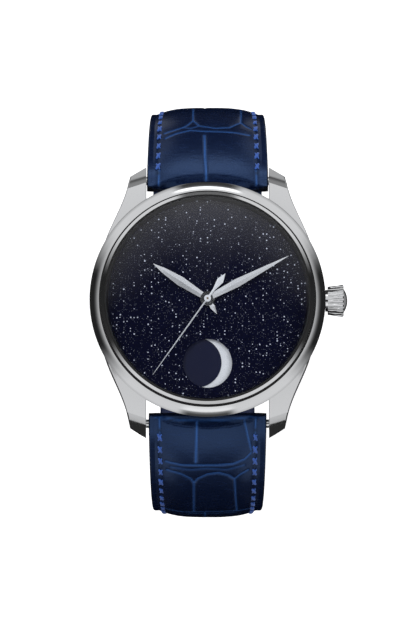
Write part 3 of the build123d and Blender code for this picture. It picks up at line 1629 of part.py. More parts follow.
# Day train: an idler between the hour wheel and the day wheel, with the first moon pinion under it
with BuildPart() as day_idler:
    add(
        toothed_disc(
            idler_at, day_level, motion_thick, day_idler_teeth, day_module, idler_phase
        )
    )
    add(
        toothed_disc(
            idler_at,
            day_level,
            am_pm_level + motion_thick - day_level,
            day_idler_small_teeth,
            day_module,
        )
    )
    add(
        toothed_disc(
            idler_at,
            motion_base_z - run_clear / 2,
            motion_thick + run_clear,
            day_pinion_leaves,
            moon_module,
        )
    )
    with BuildSketch(Plane.XY.offset(motion_base_z)):
        with Locations(idler_at):
            Circle(motion_arbor_radius)
    extrude(amount=day_level - motion_base_z)
    with BuildSketch(Plane.XY.offset(plate_top_z - motion_pivot_length + stack_gap)):
        with Locations(idler_at):
            Circle(motion_pivot_radius)
    extrude(amount=motion_pivot_length)
day_idler.part.label = "day_idler"
export_step(day_idler.part, "parts/day_idler.step")

with BuildPart() as am_pm_wheel:
    add(
        toothed_disc(
            centre_at, am_pm_level, motion_thick, am_pm_wheel_teeth, day_module, am_pm_phase
        )
    )
    with BuildSketch(Plane.XY.offset(am_pm_level)):
        Circle(am_pm_tube_radius)
    extrude(amount=am_pm_hand_z + hub_thick - am_pm_level)
    with BuildSketch(Plane.XY.offset(am_pm_level)):
        Circle(hour_tube_radius + tube_gap)
    extrude(amount=am_pm_hand_z + hub_thick - am_pm_level, mode=Mode.SUBTRACT)
am_pm_wheel.part.label = "am_pm_wheel"
export_step(am_pm_wheel.part, "parts/am_pm_wheel.step")

# Moon train: the moon wheel turns the moon ring through its inner teeth
with BuildPart() as moon_wheel:
    add(
        toothed_disc(
            moon_wheel_at,
            motion_base_z,
            motion_thick,
            moon_wheel_teeth,
            moon_module,
            moon_wheel_phase,
        )
    )
    with BuildSketch(Plane.XY.offset(motion_base_z)):
        with Locations(moon_wheel_at):
            Circle(motion_arbor_radius)
    extrude(amount=moon_ring_z - motion_base_z)
    add(
        toothed_disc(
            moon_wheel_at,
            moon_ring_z - stack_gap,
            moon_ring_thick + 2 * stack_gap,
            moon_pinion_leaves,
            ring_module,
        )
    )
    with BuildSketch(Plane.XY.offset(plate_top_z - motion_pivot_length + stack_gap)):
        with Locations(moon_wheel_at):
            Circle(motion_pivot_radius)
    extrude(amount=motion_pivot_length)
moon_wheel.part.label = "moon_wheel"
export_step(moon_wheel.part, "parts/moon_wheel.step")

with BuildPart() as moon_ring:
    with BuildSketch(Plane.XY.offset(moon_ring_z)):
        Circle(moon_ring_outer_radius)
        add(
            wheel_face(moon_ring_teeth, ring_module, moon_ring_phase, internal=True),
            mode=Mode.SUBTRACT,
        )
    extrude(amount=moon_ring_thick)
moon_ring.part.label = "moon_ring"
export_step(moon_ring.part, "parts/moon_ring.step")

with BuildPart() as moon_shadow_discs:
    with BuildSketch(Plane.XY.offset(moon_ring_z + moon_ring_thick)):
        with PolarLocations(moon_orbit, 2, start_angle=moon_rest_angle):
            Circle(moon_shadow_radius)
    extrude(amount=shadow_thick)
moon_shadow_discs.part.label = "moon_shadow_discs"
export_step(moon_shadow_discs.part, "parts/moon_shadow_discs.step")

# Hands: each leaf with its hub, bored for the tube that carries it
hour_leaf_shares = [(0.0, 0.62), (0.12, 0.66), (0.5, 1.0), (0.8, 0.6), (1.0, 0.03)]
minute_leaf_shares = [(0.0, 0.62), (0.10, 0.72), (0.36, 1.0), (0.75, 0.45), (1.0, 0.03)]
needle_shares = [(0.0, 1.0), (0.7, 0.7), (1.0, 0.25)]
counterweight_shares = [(0.0, 0.25), (0.35, 0.35), (0.72, 1.0), (1.0, 0.06)]
am_pm_leaf_shares = [(0.0, 0.5), (0.55, 1.0), (1.0, 0.05)]

with BuildPart() as hour_hand:
    add(
        clock_part(
            leaf_hand(hour_hand_length, hour_hand_half_width, hour_leaf_shares, hour_hand_z),
            hour_hand_angle,
        )
    )
    with BuildSketch(Plane.XY.offset(hour_hand_z)):
        Circle(hour_hub_radius)
    extrude(amount=hub_thick)
    with BuildSketch(Plane.XY.offset(hour_hand_z)):
        Circle(hour_tube_radius)
    extrude(amount=hub_thick, mode=Mode.SUBTRACT)
hour_hand.part.label = "hour_hand"
export_step(hour_hand.part, "parts/hour_hand.step")

with BuildPart() as minute_hand:
    add(
        clock_part(
            leaf_hand(
                minute_hand_length, minute_hand_half_width, minute_leaf_shares, minute_hand_z
            ),
            minute_hand_angle,
        )
    )
    with BuildSketch(Plane.XY.offset(minute_hand_z)):
        Circle(minute_hub_radius)
    extrude(amount=hub_thick)
    with BuildSketch(Plane.XY.offset(minute_hand_z)):
        Circle(cannon_radius)
    extrude(amount=hub_thick, mode=Mode.SUBTRACT)
minute_hand.part.label = "minute_hand"
export_step(minute_hand.part, "parts/minute_hand.step")

with BuildPart() as seconds_hand:
    add(
        clock_part(
            leaf_hand(
                seconds_hand_length, seconds_hand_half_width, needle_shares, seconds_hand_z
            ),
            seconds_hand_angle,
        )
    )
    add(
        clock_part(
            leaf_hand(
                seconds_tail_length,
                seconds_tail_half_width,
                counterweight_shares,
                seconds_hand_z,
                tail=True,
            ),
            seconds_hand_angle,
        )
    )
    with BuildSketch(Plane.XY.offset(seconds_hand_z)):
        Circle(seconds_hub_radius)
    extrude(amount=hub_thick)
    with BuildSketch(Plane.XY.offset(seconds_hand_z)):
        Circle(seconds_arbor_radius)
    extrude(amount=hub_thick, mode=Mode.SUBTRACT)
seconds_hand.part.label = "seconds_hand"
export_step(seconds_hand.part, "parts/seconds_hand.step")

with BuildPart() as am_pm_hand:
    add(
        clock_part(
            leaf_hand(am_pm_hand_length, am_pm_half_width, am_pm_leaf_shares, am_pm_hand_z),
            am_pm_hand_angle,
        )
    )
    with BuildSketch(Plane.XY.offset(am_pm_hand_z)):
        Circle(am_pm_hub_radius)
    extrude(amount=hub_thick)
    with BuildSketch(Plane.XY.offset(am_pm_hand_z)):
        Circle(am_pm_tube_radius)
    extrude(amount=hub_thick, mode=Mode.SUBTRACT)
am_pm_hand.part.label = "am_pm_hand"
export_step(am_pm_hand.part, "parts/am_pm_hand.step")

# Strap. Both halves are drawn on the 12 o'clock side, and the long one is mirrored to 6 o'clock.
# A half follows a route of bends, given as (radius, turn), and then runs straight.
short_bends = [(strap_first_radius, 90 + strap_start_angle), (short_second_radius, short_second_turn)]
long_bends = [(strap_first_radius, 90 + strap_start_angle), (long_second_radius, long_second_turn)]


def route_at(bends, along, out=0.0):
    """The point (y, z) and heading in degrees at a length along the route, and pushed out from it."""
    y = bar_y
    z = bar_z
    heading = strap_start_angle
    left = along
    for radius, turn in bends:
        arc = radius * radians(turn)
        bend = min(left, arc)
        middle_y = y + radius * sin(radians(heading))
        middle_z = z - radius * cos(radians(heading))
        heading = heading - degrees(bend / radius)
        y = middle_y - radius * sin(radians(heading))
        z = middle_z + radius * cos(radians(heading))
        left -= bend
        if left <= 0:
            break
    y += max(left, 0) * cos(radians(heading))
    z += max(left, 0) * sin(radians(heading))
    return (
        y - out * sin(radians(heading)),
        z + out * cos(radians(heading)),
        heading,
    )


def route_breaks(bends, start, end):
    """The lengths where the route's bends start and end, between two given lengths."""
    breaks = [start]
    reached = 0.0
    for radius, turn in bends:
        reached += radius * radians(turn)
        if start < reached < end:
            breaks.append(reached)
    return [*breaks, end]


def route_line(bends, start, end, out):
    """Draws the route between two lengths at a distance from it, as arcs and a straight run."""
    breaks = route_breaks(bends, start, end)
    for low, high in zip(breaks[:-1], breaks[1:]):
        first = route_at(bends, low, out)
        middle = route_at(bends, (low + high) / 2, out)
        last = route_at(bends, high, out)
        if abs(first[2] - last[2]) > least_bend_angle:
            ThreePointArc(first[:2], middle[:2], last[:2])
        else:
            Line(first[:2], last[:2])


def strap_layer(width, bends, start, end, low, high, inset):
    """One layer of a strap half, between two distances from its route and tapered in width."""
    with BuildPart() as layer:
        with BuildSketch(Plane.YZ):
            with BuildLine():
                route_line(bends, start, end, high)
                Line(route_at(bends, end, high)[:2], route_at(bends, end, low)[:2])
                route_line(bends, start, end, low)
                Line(route_at(bends, start, low)[:2], route_at(bends, start, high)[:2])
            make_face()
        extrude(amount=width / 2, both=True)
        wide = width / 2 - inset
        narrow = strap_end_width / 2 - inset
        with BuildSketch(Plane.XZ):
            with BuildLine():
                Polyline(
                    (-wide, lug_to_lug),
                    (wide, lug_to_lug),
                    (wide, bar_z),
                    (narrow, strap_taper_z),
                    (narrow, -long_strap_length),
                    (-narrow, -long_strap_length),
                    (-narrow, strap_taper_z),
                    (-wide, bar_z),
                    close=True,
                )
            make_face()
        extrude(amount=long_strap_length, both=True, mode=Mode.INTERSECT)
    return layer.part


def route_plane(bends, along):
    """A plane on the strap, with X across it, Y along its route and Z out from the wrist."""
    y, z, heading = route_at(bends, along)
    turn = radians(heading)
    return Plane(origin=(0, y, z), x_dir=(1, 0, 0), z_dir=(0, -sin(turn), cos(turn)))


def knuckle(width, radius):
    """The round end of the leather where it wraps the spring bar."""
    with BuildPart() as roll:
        with BuildSketch(Plane.YZ):
            with Locations((bar_y, bar_z)):
                Circle(radius)
        extrude(amount=width / 2, both=True)
    return roll.part


bar_bore = bar_radius + bar_clear
buckle_plane = route_plane(short_bends, short_strap_length)
buckle_inner = strap_end_width + 2 * buckle_inner_clear
buckle_outer = buckle_inner + 2 * buckle_side
buckle_bore = buckle_bar_radius + bar_clear

with BuildPart() as strap_12_leather:
    add(strap_layer(short_strap_width, short_bends, 0, short_strap_length, 0, edge_thick, 0))
    add(
        strap_layer(
            short_strap_width, short_bends, crown_start, short_crown_end, edge_thick / 2,
            edge_thick + crown_thick, crown_margin,
        )
    )
    add(knuckle(short_strap_width, knuckle_radius))
    with BuildSketch(Plane.YZ.offset(-strap_end_width / 2)):
        with Locations(route_at(short_bends, short_strap_length)[:2]):
            Circle(buckle_knuckle_radius)
    extrude(amount=strap_end_width)
    with BuildSketch(buckle_plane):
        Rectangle(buckle_slot, 2 * buckle_knuckle_radius + 2 * tongue_ring)
    extrude(amount=2 * buckle_knuckle_radius, both=True, mode=Mode.SUBTRACT)
    with BuildSketch(Plane.YZ):
        with Locations((bar_y, bar_z)):
            Circle(bar_bore)
        with Locations(route_at(short_bends, short_strap_length)[:2]):
            Circle(buckle_bar_radius)
    extrude(amount=lug_gap, both=True, mode=Mode.SUBTRACT)
strap_12_leather.part.label = "strap_12_leather"
export_step(strap_12_leather.part, "parts/strap_12_leather.step")

lining_end = short_strap_length - buckle_knuckle_radius - tongue_ring
with BuildPart() as strap_12_lining:
    add(strap_layer(short_strap_width, short_bends, lining_start, lining_end, -lining_thick, 0, lining_inset))
strap_12_lining.part.label = "strap_12_lining"
export_step(strap_12_lining.part, "parts/strap_12_lining.step")

# The long half: the same build, with its pointed tip and its row of holes
hole_places = [
    long_strap_length - first_hole_from_tip - i * hole_pitch for i in range(hole_count)
]
tip_plane = route_plane(long_bends, long_strap_length)


def tip_and_holes():
    """What is cut from the long half: the corners beside its pointed tip, and its buckle holes."""
    with BuildPart() as cuts:
        with BuildSketch(tip_plane):
            Rectangle(long_strap_width, 2 * tip_length)
            with BuildLine():
                half = strap_end_width / 2
                left_foot = (-half, -tip_length)
                right_foot = (half, -tip_length)
                ThreePointArc(left_foot, (-half * tip_share, -tip_length * tip_share / 2), (0, 0))
                ThreePointArc((0, 0), (half * tip_share, -tip_length * tip_share / 2), right_foot)
                Line(right_foot, left_foot)
            make_face(mode=Mode.SUBTRACT)
        extrude(amount=tip_length, both=True)
        for along in hole_places:
            with BuildSketch(route_plane(long_bends, along)):
                Circle(hole_radius)
            extrude(amount=tip_length, both=True)
    return cuts.part


tip_cuts = tip_and_holes()
with BuildPart() as long_leather:
    add(strap_layer(long_strap_width, long_bends, 0, long_strap_length, 0, edge_thick, 0))
    add(
        strap_layer(
            long_strap_width, long_bends, crown_start, long_crown_end, edge_thick / 2,
            edge_thick + crown_thick, crown_margin,
        )
    )
    add(knuckle(long_strap_width, knuckle_radius))
    add(tip_cuts, mode=Mode.SUBTRACT)
    with BuildSketch(Plane.YZ):
        with Locations((bar_y, bar_z)):
            Circle(bar_bore)
    extrude(amount=lug_gap, both=True, mode=Mode.SUBTRACT)

with BuildPart() as strap_6_leather:
    add(long_leather.part.mirror(Plane.XZ))
strap_6_leather.part.label = "strap_6_leather"
export_step(strap_6_leather.part, "parts/strap_6_leather.step")

with BuildPart() as long_lining:
    add(
        strap_layer(
            long_strap_width, long_bends, lining_start, long_strap_length, -lining_thick, 0,
            lining_inset,
        )
    )
    add(tip_cuts, mode=Mode.SUBTRACT)

with BuildPart() as strap_6_lining:
    add(long_lining.part.mirror(Plane.XZ))
strap_6_lining.part.label = "strap_6_lining"
export_step(strap_6_lining.part, "parts/strap_6_lining.step")

# Buckle: bar, frame and tongue
with BuildPart() as buckle_bar:
    buckle_at = route_at(short_bends, short_strap_length)[:2]
    with BuildSketch(Plane.YZ.offset(-buckle_outer / 2 + buckle_side / 4)):
        with Locations(buckle_at):
            Circle(buckle_bar_radius)
    extrude(amount=buckle_outer - buckle_side / 2)
buckle_bar.part.label = "buckle_bar"
export_step(buckle_bar.part, "parts/buckle_bar.step")

with BuildPart() as buckle_frame:
    with BuildSketch(buckle_plane):
        frame_length = buckle_back + buckle_length + buckle_side
        with Locations((0, frame_length / 2 - buckle_back)):
            RectangleRounded(buckle_outer, frame_length, buckle_back)
        with Locations((0, buckle_length / 2 - buckle_back)):
            Rectangle(buckle_inner, buckle_length + 2 * buckle_back, mode=Mode.SUBTRACT)
    extrude(amount=buckle_thick / 2, both=True)
    fillet(buckle_frame.edges().filter_by(Axis.X).group_by(Axis.Z)[0], buckle_round)
    with BuildSketch(Plane.YZ):
        with Locations(buckle_at):
            Circle(buckle_bore)
    extrude(amount=buckle_outer, both=True, mode=Mode.SUBTRACT)
buckle_frame.part.label = "buckle_frame"
export_step(buckle_frame.part, "parts/buckle_frame.step")

tongue_plane = Plane(
    origin=buckle_plane.origin, x_dir=buckle_plane.y_dir, z_dir=(1, 0, 0)
)
with BuildPart() as buckle_tongue:
    with BuildSketch(tongue_plane):
        Circle(tongue_ring)
        low = buckle_thick / 2 + run_clear
        with BuildLine():
            Polyline(
                (0, buckle_bore),
                (tongue_ring, low),
                (buckle_length + tongue_over, low),
                (buckle_length + tongue_over + tongue_thick / 2, low + tongue_thick / 2),
                (buckle_length + tongue_over, low + tongue_thick),
                (0, low + tongue_thick),
                (-tongue_ring / 2, tongue_ring * ring_top_share),
                close=True,
            )
        make_face()
        Circle(buckle_bore, mode=Mode.SUBTRACT)
    extrude(amount=tongue_width / 2, both=True)
buckle_tongue.part.label = "buckle_tongue"
export_step(buckle_tongue.part, "parts/buckle_tongue.step")


def keeper_loop(along):
    """A flat leather loop round the short half, with room outside it for the tail."""
    at = route_plane(short_bends, along)
    low = -lining_thick - keeper_clear
    high = 2 * (edge_thick + lining_thick) - lining_thick + keeper_clear
    inner_width = strap_end_width + 2 * keeper_clear
    section = Plane(origin=at.origin, x_dir=(1, 0, 0), z_dir=-at.y_dir)
    with BuildPart() as loop:
        with BuildSketch(section):
            with Locations((0, (low + high) / 2)):
                Rectangle(inner_width + 2 * keeper_wall, high - low + 2 * keeper_wall)
                Rectangle(inner_width, high - low, mode=Mode.SUBTRACT)
        extrude(amount=keeper_length / 2, both=True)
    return loop.part


with BuildPart() as fixed_keeper:
    add(keeper_loop(fixed_keeper_at))
fixed_keeper.part.label = "fixed_keeper"
export_step(fixed_keeper.part, "parts/fixed_keeper.step")

with BuildPart() as free_keeper:
    add(keeper_loop(free_keeper_at))
free_keeper.part.label = "free_keeper"
export_step(free_keeper.part, "parts/free_keeper.step")
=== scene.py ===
"""Looks of the moon phase watch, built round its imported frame.

Each sub-assembly of the watch is a class that holds its sizes in millimetres and dresses its nodes.
The strap is modelled here as padded scaled leather, and stands for the plain solids of the frame.
"""

from __future__ import annotations

import logging
import math
from dataclasses import dataclass, field
from enum import Enum
from typing import Any, Callable, Sequence

import bmesh
import bpy
import numpy as np
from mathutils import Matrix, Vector

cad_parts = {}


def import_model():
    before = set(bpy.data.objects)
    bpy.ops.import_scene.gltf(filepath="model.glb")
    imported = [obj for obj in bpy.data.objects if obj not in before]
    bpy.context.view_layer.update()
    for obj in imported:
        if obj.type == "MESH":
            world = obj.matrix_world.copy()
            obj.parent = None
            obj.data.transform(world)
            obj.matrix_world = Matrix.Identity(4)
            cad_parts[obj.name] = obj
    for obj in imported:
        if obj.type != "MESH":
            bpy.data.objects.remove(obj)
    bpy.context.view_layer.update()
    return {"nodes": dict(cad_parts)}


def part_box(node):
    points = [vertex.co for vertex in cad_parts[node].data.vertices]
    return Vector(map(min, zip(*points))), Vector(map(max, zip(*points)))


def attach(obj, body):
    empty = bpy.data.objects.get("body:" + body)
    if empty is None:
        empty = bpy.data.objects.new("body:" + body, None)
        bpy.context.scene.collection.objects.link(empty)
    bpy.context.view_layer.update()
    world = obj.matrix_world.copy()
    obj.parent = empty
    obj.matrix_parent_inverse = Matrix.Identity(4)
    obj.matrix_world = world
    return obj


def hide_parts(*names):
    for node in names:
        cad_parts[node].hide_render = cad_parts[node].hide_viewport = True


LOG = logging.getLogger("watch")
MM = 0.001
FIRST_HOLE = 89.0
HOLE_PITCH = 6.5
HOLE_COUNT = 7

Pair = tuple[float, float]
Point = tuple[float, float, float]
Colour = tuple[float, float, float, float]
Tree = bpy.types.NodeTree
Socket = bpy.types.NodeSocket
Piece = bpy.types.Object


def linear(hex_colour: str, alpha: float = 1.0) -> Colour:
    """Turns an sRGB hex colour into the linear values that the shaders take.

    Args:
        hex_colour: Six hex digits, with or without a leading hash.
        alpha: The fourth value.

    Returns:
        Linear red, green, blue and alpha.
    """
    digits = hex_colour.lstrip("#")
    values = []
    for start in (0, 2, 4):
        part = int(digits[start : start + 2], 16) / 255
        values.append(part / 12.92 if part <= 0.04045 else ((part + 0.055) / 1.055) ** 2.4)
    return (values[0], values[1], values[2], alpha)


def add_node(
    tree: Tree,
    kind: str,
    inputs: dict[str | int, Any] | None = None,
    **settings: Any,
) -> bpy.types.Node:
    """Adds a node with its settings and links.

    Args:
        tree: The node tree.
        kind: The node's type name.
        inputs: Socket name or number to a value, or to the socket or node that feeds it.
        **settings: Properties of the node.

    Returns:
        The new node.
    """
    node = tree.nodes.new(kind)
    for name, value in settings.items():
        setattr(node, name, value)
    for key, value in (inputs or {}).items():
        if isinstance(value, bpy.types.Node):
            value = value.outputs[0]
        if isinstance(value, Socket):
            tree.links.new(value, node.inputs[key])
        else:
            node.inputs[key].default_value = value
    return node


def maths(tree: Tree, operation: str, *values: Any) -> Socket:
    """Adds a maths node on numbers or sockets, and gives its output."""
    inputs = dict(enumerate(values))
    return add_node(tree, "ShaderNodeMath", inputs, operation=operation).outputs[0]


def remap(
    tree: Tree,
    value: Socket,
    source: tuple[Any, Any] = (0.0, 1.0),
    target: tuple[Any, Any] = (0.0, 1.0),
    smooth: bool = False,
) -> Socket:
    """Carries a value from one range to another.

    Args:
        tree: The node tree.
        value: The value's socket.
        source: The range it comes from, as numbers or sockets.
        target: The range it goes to.
        smooth: Whether both ends are eased.

    Returns:
        The new value's socket, held at both ends.
    """
    ends = dict(zip(("From Min", "From Max", "To Min", "To Max"), (*source, *target)))
    kind = "SMOOTHSTEP" if smooth else "LINEAR"
    inputs = {"Value": value, **ends}
    return add_node(tree, "ShaderNodeMapRange", inputs, interpolation_type=kind).outputs["Result"]


def blend(tree: Tree, share: Socket, first: Any, second: Any) -> Socket:
    """Mixes two colours, given as linear values or as sockets."""
    inputs = {"Factor": share, 6: first, 7: second}
    return add_node(tree, "ShaderNodeMix", inputs, data_type="RGBA").outputs[2]


def noise(tree: Tree, place: Socket, scale: float, detail: float, roughness: float = 0.5) -> Socket:
    """Adds cloudy noise, from 0 to 1, of so many spots a millimetre."""
    inputs = {"Vector": place, "Scale": scale, "Detail": detail, "Roughness": roughness}
    return add_node(tree, "ShaderNodeTexNoise", inputs).outputs["Fac"]


def bump(tree: Tree, height: Socket, depth: float, strength: float = 1.0) -> Socket:
    """Turns a relief of a depth in millimetres into a shading normal."""
    inputs = {"Height": height, "Strength": strength, "Distance": depth * MM}
    return add_node(tree, "ShaderNodeBump", inputs).outputs["Normal"]


def surface(tree: Tree, values: dict[str | int, Any]) -> Socket:
    """Adds the principled shader with its values, and gives its output."""
    return add_node(tree, "ShaderNodeBsdfPrincipled", values).outputs["BSDF"]


def grey_ramp(tree: Tree, share: Socket, stops: Sequence[Pair], reach: float) -> Socket:
    """Adds a ramp of plain light levels.

    Args:
        tree: The node tree.
        share: Where on the ramp, from 0 to 1.
        stops: Place and level of each stop, in order.
        reach: The place that a share of 1 stands for.

    Returns:
        The level's socket.
    """
    node = add_node(tree, "ShaderNodeValToRGB", {"Fac": share})
    elements = node.color_ramp.elements
    while len(elements) > 1:
        elements.remove(elements[-1])
    for number, (place, level) in enumerate(stops):
        element = elements.new(place / reach) if number else elements[0]
        element.position = place / reach
        element.color = (level, level, level, 1.0)
    return node.outputs["Color"]


def smooth_step(value: np.ndarray | float) -> np.ndarray:
    """Eases a share from 0 to 1, held at both ends."""
    share = np.clip(value, 0.0, 1.0)
    return share * share * (3 - 2 * share)


def new_object(name: str, data: bpy.types.ID) -> Piece:
    """Puts an object with its mesh, lamp or camera into the scene."""
    piece = bpy.data.objects.new(name, data)
    bpy.context.scene.collection.objects.link(piece)
    return piece


def clear_tree(owner: bpy.types.Material | bpy.types.World) -> Tree:
    """Turns nodes on for a material or a world, and gives its empty tree."""
    owner.use_nodes = True
    owner.node_tree.nodes.clear()
    return owner.node_tree


def mesh_object(
    name: str,
    points: np.ndarray,
    faces: Sequence[Sequence[int]],
    smooth: bool = True,
) -> Piece:
    """Makes a mesh object at the origin from points in millimetres.

    Args:
        name: The piece's name.
        points: The points, one row each.
        faces: The corners of each face.
        smooth: Whether its faces are shaded smooth.

    Returns:
        The linked object.
    """
    mesh = bpy.data.meshes.new(name)
    mesh.from_pydata((points * MM).tolist(), [], [list(face) for face in faces])
    work = bmesh.new()
    work.from_mesh(mesh)
    bmesh.ops.recalc_face_normals(work, faces=work.faces)
    work.to_mesh(mesh)
    work.free()
    mesh.polygons.foreach_set("use_smooth", [smooth] * len(mesh.polygons))
    mesh.update()
    return new_object(name, mesh)


def sweep_faces(rows: int, around: int, closed: bool) -> list[list[int]]:
    """The faces between rows of points that go round a band.

    Args:
        rows: How many rows there are.
        around: Points in a row.
        closed: Whether the last row joins the first. If not, both ends are capped.

    Returns:
        The faces, as numbers of their corners.
    """
    faces = []
    for row in range(rows if closed else rows - 1):
        here, beyond = row * around, (row + 1) % rows * around
        for k in range(around):
            m = (k + 1) % around
            faces.append([here + k, here + m, beyond + m, beyond + k])
    if not closed:
        faces.append(list(range(around))[::-1])
        faces.append([(rows - 1) * around + k for k in range(around)])
    return faces


def add_masks(piece: Piece, crease: np.ndarray, rim: np.ndarray) -> None:
    """Stores where the dye is paler, and where the edge is painted or shade is painted into the
    needle holes, for the leather.
    """
    for key, values in (("crease", crease), ("rim", rim)):
        layer = piece.data.attributes.new(key, "FLOAT", "POINT")
        layer.data.foreach_set("value", values.reshape(-1).astype(np.float32))


def bake_modifiers(piece: Piece) -> None:
    """Turns a piece with its modifiers into a plain mesh."""
    bpy.context.view_layer.update()
    graph = bpy.context.evaluated_depsgraph_get()
    made = bpy.data.meshes.new_from_object(piece.evaluated_get(graph))
    made.name = piece.name
    piece.modifiers.clear()
    piece.data = made


class Finish:
    """A finish makes one material, once for each centre that its pattern turns about."""

    def material(self, centre: Point = (0.0, 0.0, 0.0)) -> bpy.types.Material:
        """Makes or finds the material.

        Args:
            centre: Where the pattern is centred, in millimetres.

        Returns:
            The material.
        """
        label = "_".join(str(round(value, 1)).replace("-", "m") for value in centre)
        name = f"{type(self).__name__}_{self.label()}_{label}"
        found = bpy.data.materials.get(name)
        if found is not None:
            return found
        made = bpy.data.materials.new(name)
        tree = clear_tree(made)
        place = add_node(tree, "ShaderNodeTexCoord").outputs["Object"]
        moved = add_node(
            tree, "ShaderNodeMapping",
            {"Vector": place, "Location": [value * MM for value in centre], "Scale": (MM, MM, MM)},
            vector_type="TEXTURE",
        )
        shader = self.shader(tree, moved.outputs["Vector"])
        add_node(tree, "ShaderNodeOutputMaterial", {"Surface": shader})
        return made

    def label(self) -> str:
        """A word that tells this finish from others of its class."""
        return "plain"

    def shader(self, tree: Tree, place: Socket) -> Socket:
        """Builds the shader.

        Args:
            tree: The material's node tree.
            place: Object coordinates in millimetres from the centre.

        Returns:
            The shader's output.
        """
        raise NotImplementedError


class Grain(Enum):
    """How a metal surface was finished."""

    MIRROR = "mirror"
    CIRCULAR = "circular"
    BLASTED = "blasted"
    STRIPED = "striped"


@dataclass(frozen=True)
class Metal(Finish):
    """A bare or plated metal.

    Polished 316L steel shows faint wheel marks, turned parts show circles about their own centre,
    and watch bridges show broad rolled stripes. The metal keeps the default index of refraction.
    """

    name: str
    colour: str
    roughness: float
    grain: Grain = Grain.MIRROR
    pitch: float = 0.12
    relief: float = 0.0006
    spread: float = 0.05
    stripe_pitch: float = 2.2
    stripe_rise: float = 40.0

    def label(self) -> str:
        """The metal's own name."""
        return self.name

    def height(self, tree: Tree, place: Socket) -> Socket:
        """The surface's fine relief, from 0 to 1.

        Args:
            tree: The material's node tree.
            place: Object coordinates in millimetres.

        Returns:
            The relief's socket.
        """
        if self.grain is Grain.CIRCULAR:
            parts = add_node(tree, "ShaderNodeSeparateXYZ", {"Vector": place})
            flat = add_node(
                tree, "ShaderNodeCombineXYZ", {"X": parts.outputs["X"], "Y": parts.outputs["Y"]}
            )
            radius = add_node(tree, "ShaderNodeVectorMath", {0: flat}, operation="LENGTH")
            turned = add_node(
                tree, "ShaderNodeCombineXYZ",
                {"X": radius.outputs["Value"], "Y": parts.outputs["Z"]},
            )
            place = turned.outputs[0]
        return noise(tree, place, 1 / self.pitch, 2.0)

    def shader(self, tree: Tree, place: Socket) -> Socket:
        """Builds the metal.

        Args:
            tree: The material's node tree.
            place: Object coordinates in millimetres.

        Returns:
            The shader's output.
        """
        relief = self.height(tree, place)
        handled = noise(tree, place, 0.35, 3.0)
        mixed = maths(tree, "MULTIPLY", relief, handled)
        rough = remap(
            tree, mixed, source=(0.0, 0.5),
            target=(max(self.roughness - self.spread, 0.02), self.roughness + self.spread),
        )
        if self.grain is Grain.STRIPED:
            parts = add_node(tree, "ShaderNodeSeparateXYZ", {"Vector": place})
            across = maths(tree, "DIVIDE", parts.outputs["X"], self.stripe_pitch)
            saw = maths(tree, "FRACT", across)
            relief = maths(tree, "MULTIPLY_ADD", saw, self.stripe_rise, relief)
        normal = bump(tree, relief, self.relief)
        return surface(
            tree,
            {
                "Base Color": linear(self.colour), "Metallic": 1.0, "Roughness": rough,
                "Normal": normal,
            },
        )


@dataclass(frozen=True)
class Aventurine(Finish):
    """Dark navy glass full of tiny bright flakes.

    Copper-fleck glass is melted with metal flakes of about 0.05 to 0.3 mm. Most flakes are faint,
    and a few lie flat and flash; that flash is a painted glint, drawn as a paler flake colour at a
    brightness picked for each flake. The smallest are drawn at 0.08 mm so that they show.
    """

    deep: str = "#04061C"
    soft: str = "#080B25"
    flake: str = "#DDE3F2"
    flake_grid: float = 0.62
    flake_radius: Pair = (0.07, 0.15)
    flake_share: float = 0.15
    dust_grid: float = 0.27
    dust_radius: Pair = (0.04, 0.07)
    dust_share: float = 0.26
    dust_level: float = 0.2
    soft_rim: float = 0.55
    brightness: Pair = (0.3, 1.9)

    def flakes(self, tree: Tree, place: Socket, grid: float, radius: Pair, share: float) -> Socket:
        """Scattered round flakes as a mask.

        Args:
            tree: The material's node tree.
            place: Object coordinates in millimetres.
            grid: Mean distance between places for a flake.
            radius: Least and largest radius of a flake, in millimetres.
            share: Share of those places that hold a flake.

        Returns:
            A mask from 0 to 1 that also holds each flake's brightness, partly a painted glint.
        """
        cells = add_node(
            tree, "ShaderNodeTexVoronoi", {"Vector": place, "Scale": 1 / grid, "Randomness": 1.0},
            voronoi_dimensions="2D",
        )
        pick = add_node(tree, "ShaderNodeSeparateColor", {"Color": cells.outputs["Color"]})
        size = remap(
            tree, pick.outputs["Red"], source=(1 - share, 1.0),
            target=(radius[0] / grid, radius[1] / grid),
        )
        inside = remap(
            tree, cells.outputs["Distance"],
            source=(size, maths(tree, "MULTIPLY", size, self.soft_rim)),
        )
        held = maths(tree, "GREATER_THAN", pick.outputs["Red"], 1 - share)
        shown = maths(tree, "MULTIPLY", inside, held)
        bright = remap(tree, pick.outputs["Green"], target=self.brightness)
        return maths(tree, "MULTIPLY", shown, bright)

    def shader(self, tree: Tree, place: Socket) -> Socket:
        """Builds the flecked glass.

        Args:
            tree: The material's node tree.
            place: Object coordinates in millimetres.

        Returns:
            The shader's output.
        """
        large = self.flakes(tree, place, self.flake_grid, self.flake_radius, self.flake_share)
        dust = self.flakes(tree, place, self.dust_grid, self.dust_radius, self.dust_share)
        faint = maths(tree, "MULTIPLY", dust, self.dust_level)
        mask = add_node(
            tree, "ShaderNodeMath", {0: large, 1: faint}, operation="MAXIMUM", use_clamp=True
        )
        cloud = noise(tree, place, 0.09, 4.0)
        glass = blend(tree, cloud, linear(self.deep), linear(self.soft))
        # Pale flakes over the glass: real flecks, and the brighter ones are a painted glint.
        colour = blend(tree, mask, glass, linear(self.flake))
        return surface(
            tree, {"Base Color": colour, "Roughness": 0.12, "IOR": 1.45, "Specular IOR Level": 0.2}
        )


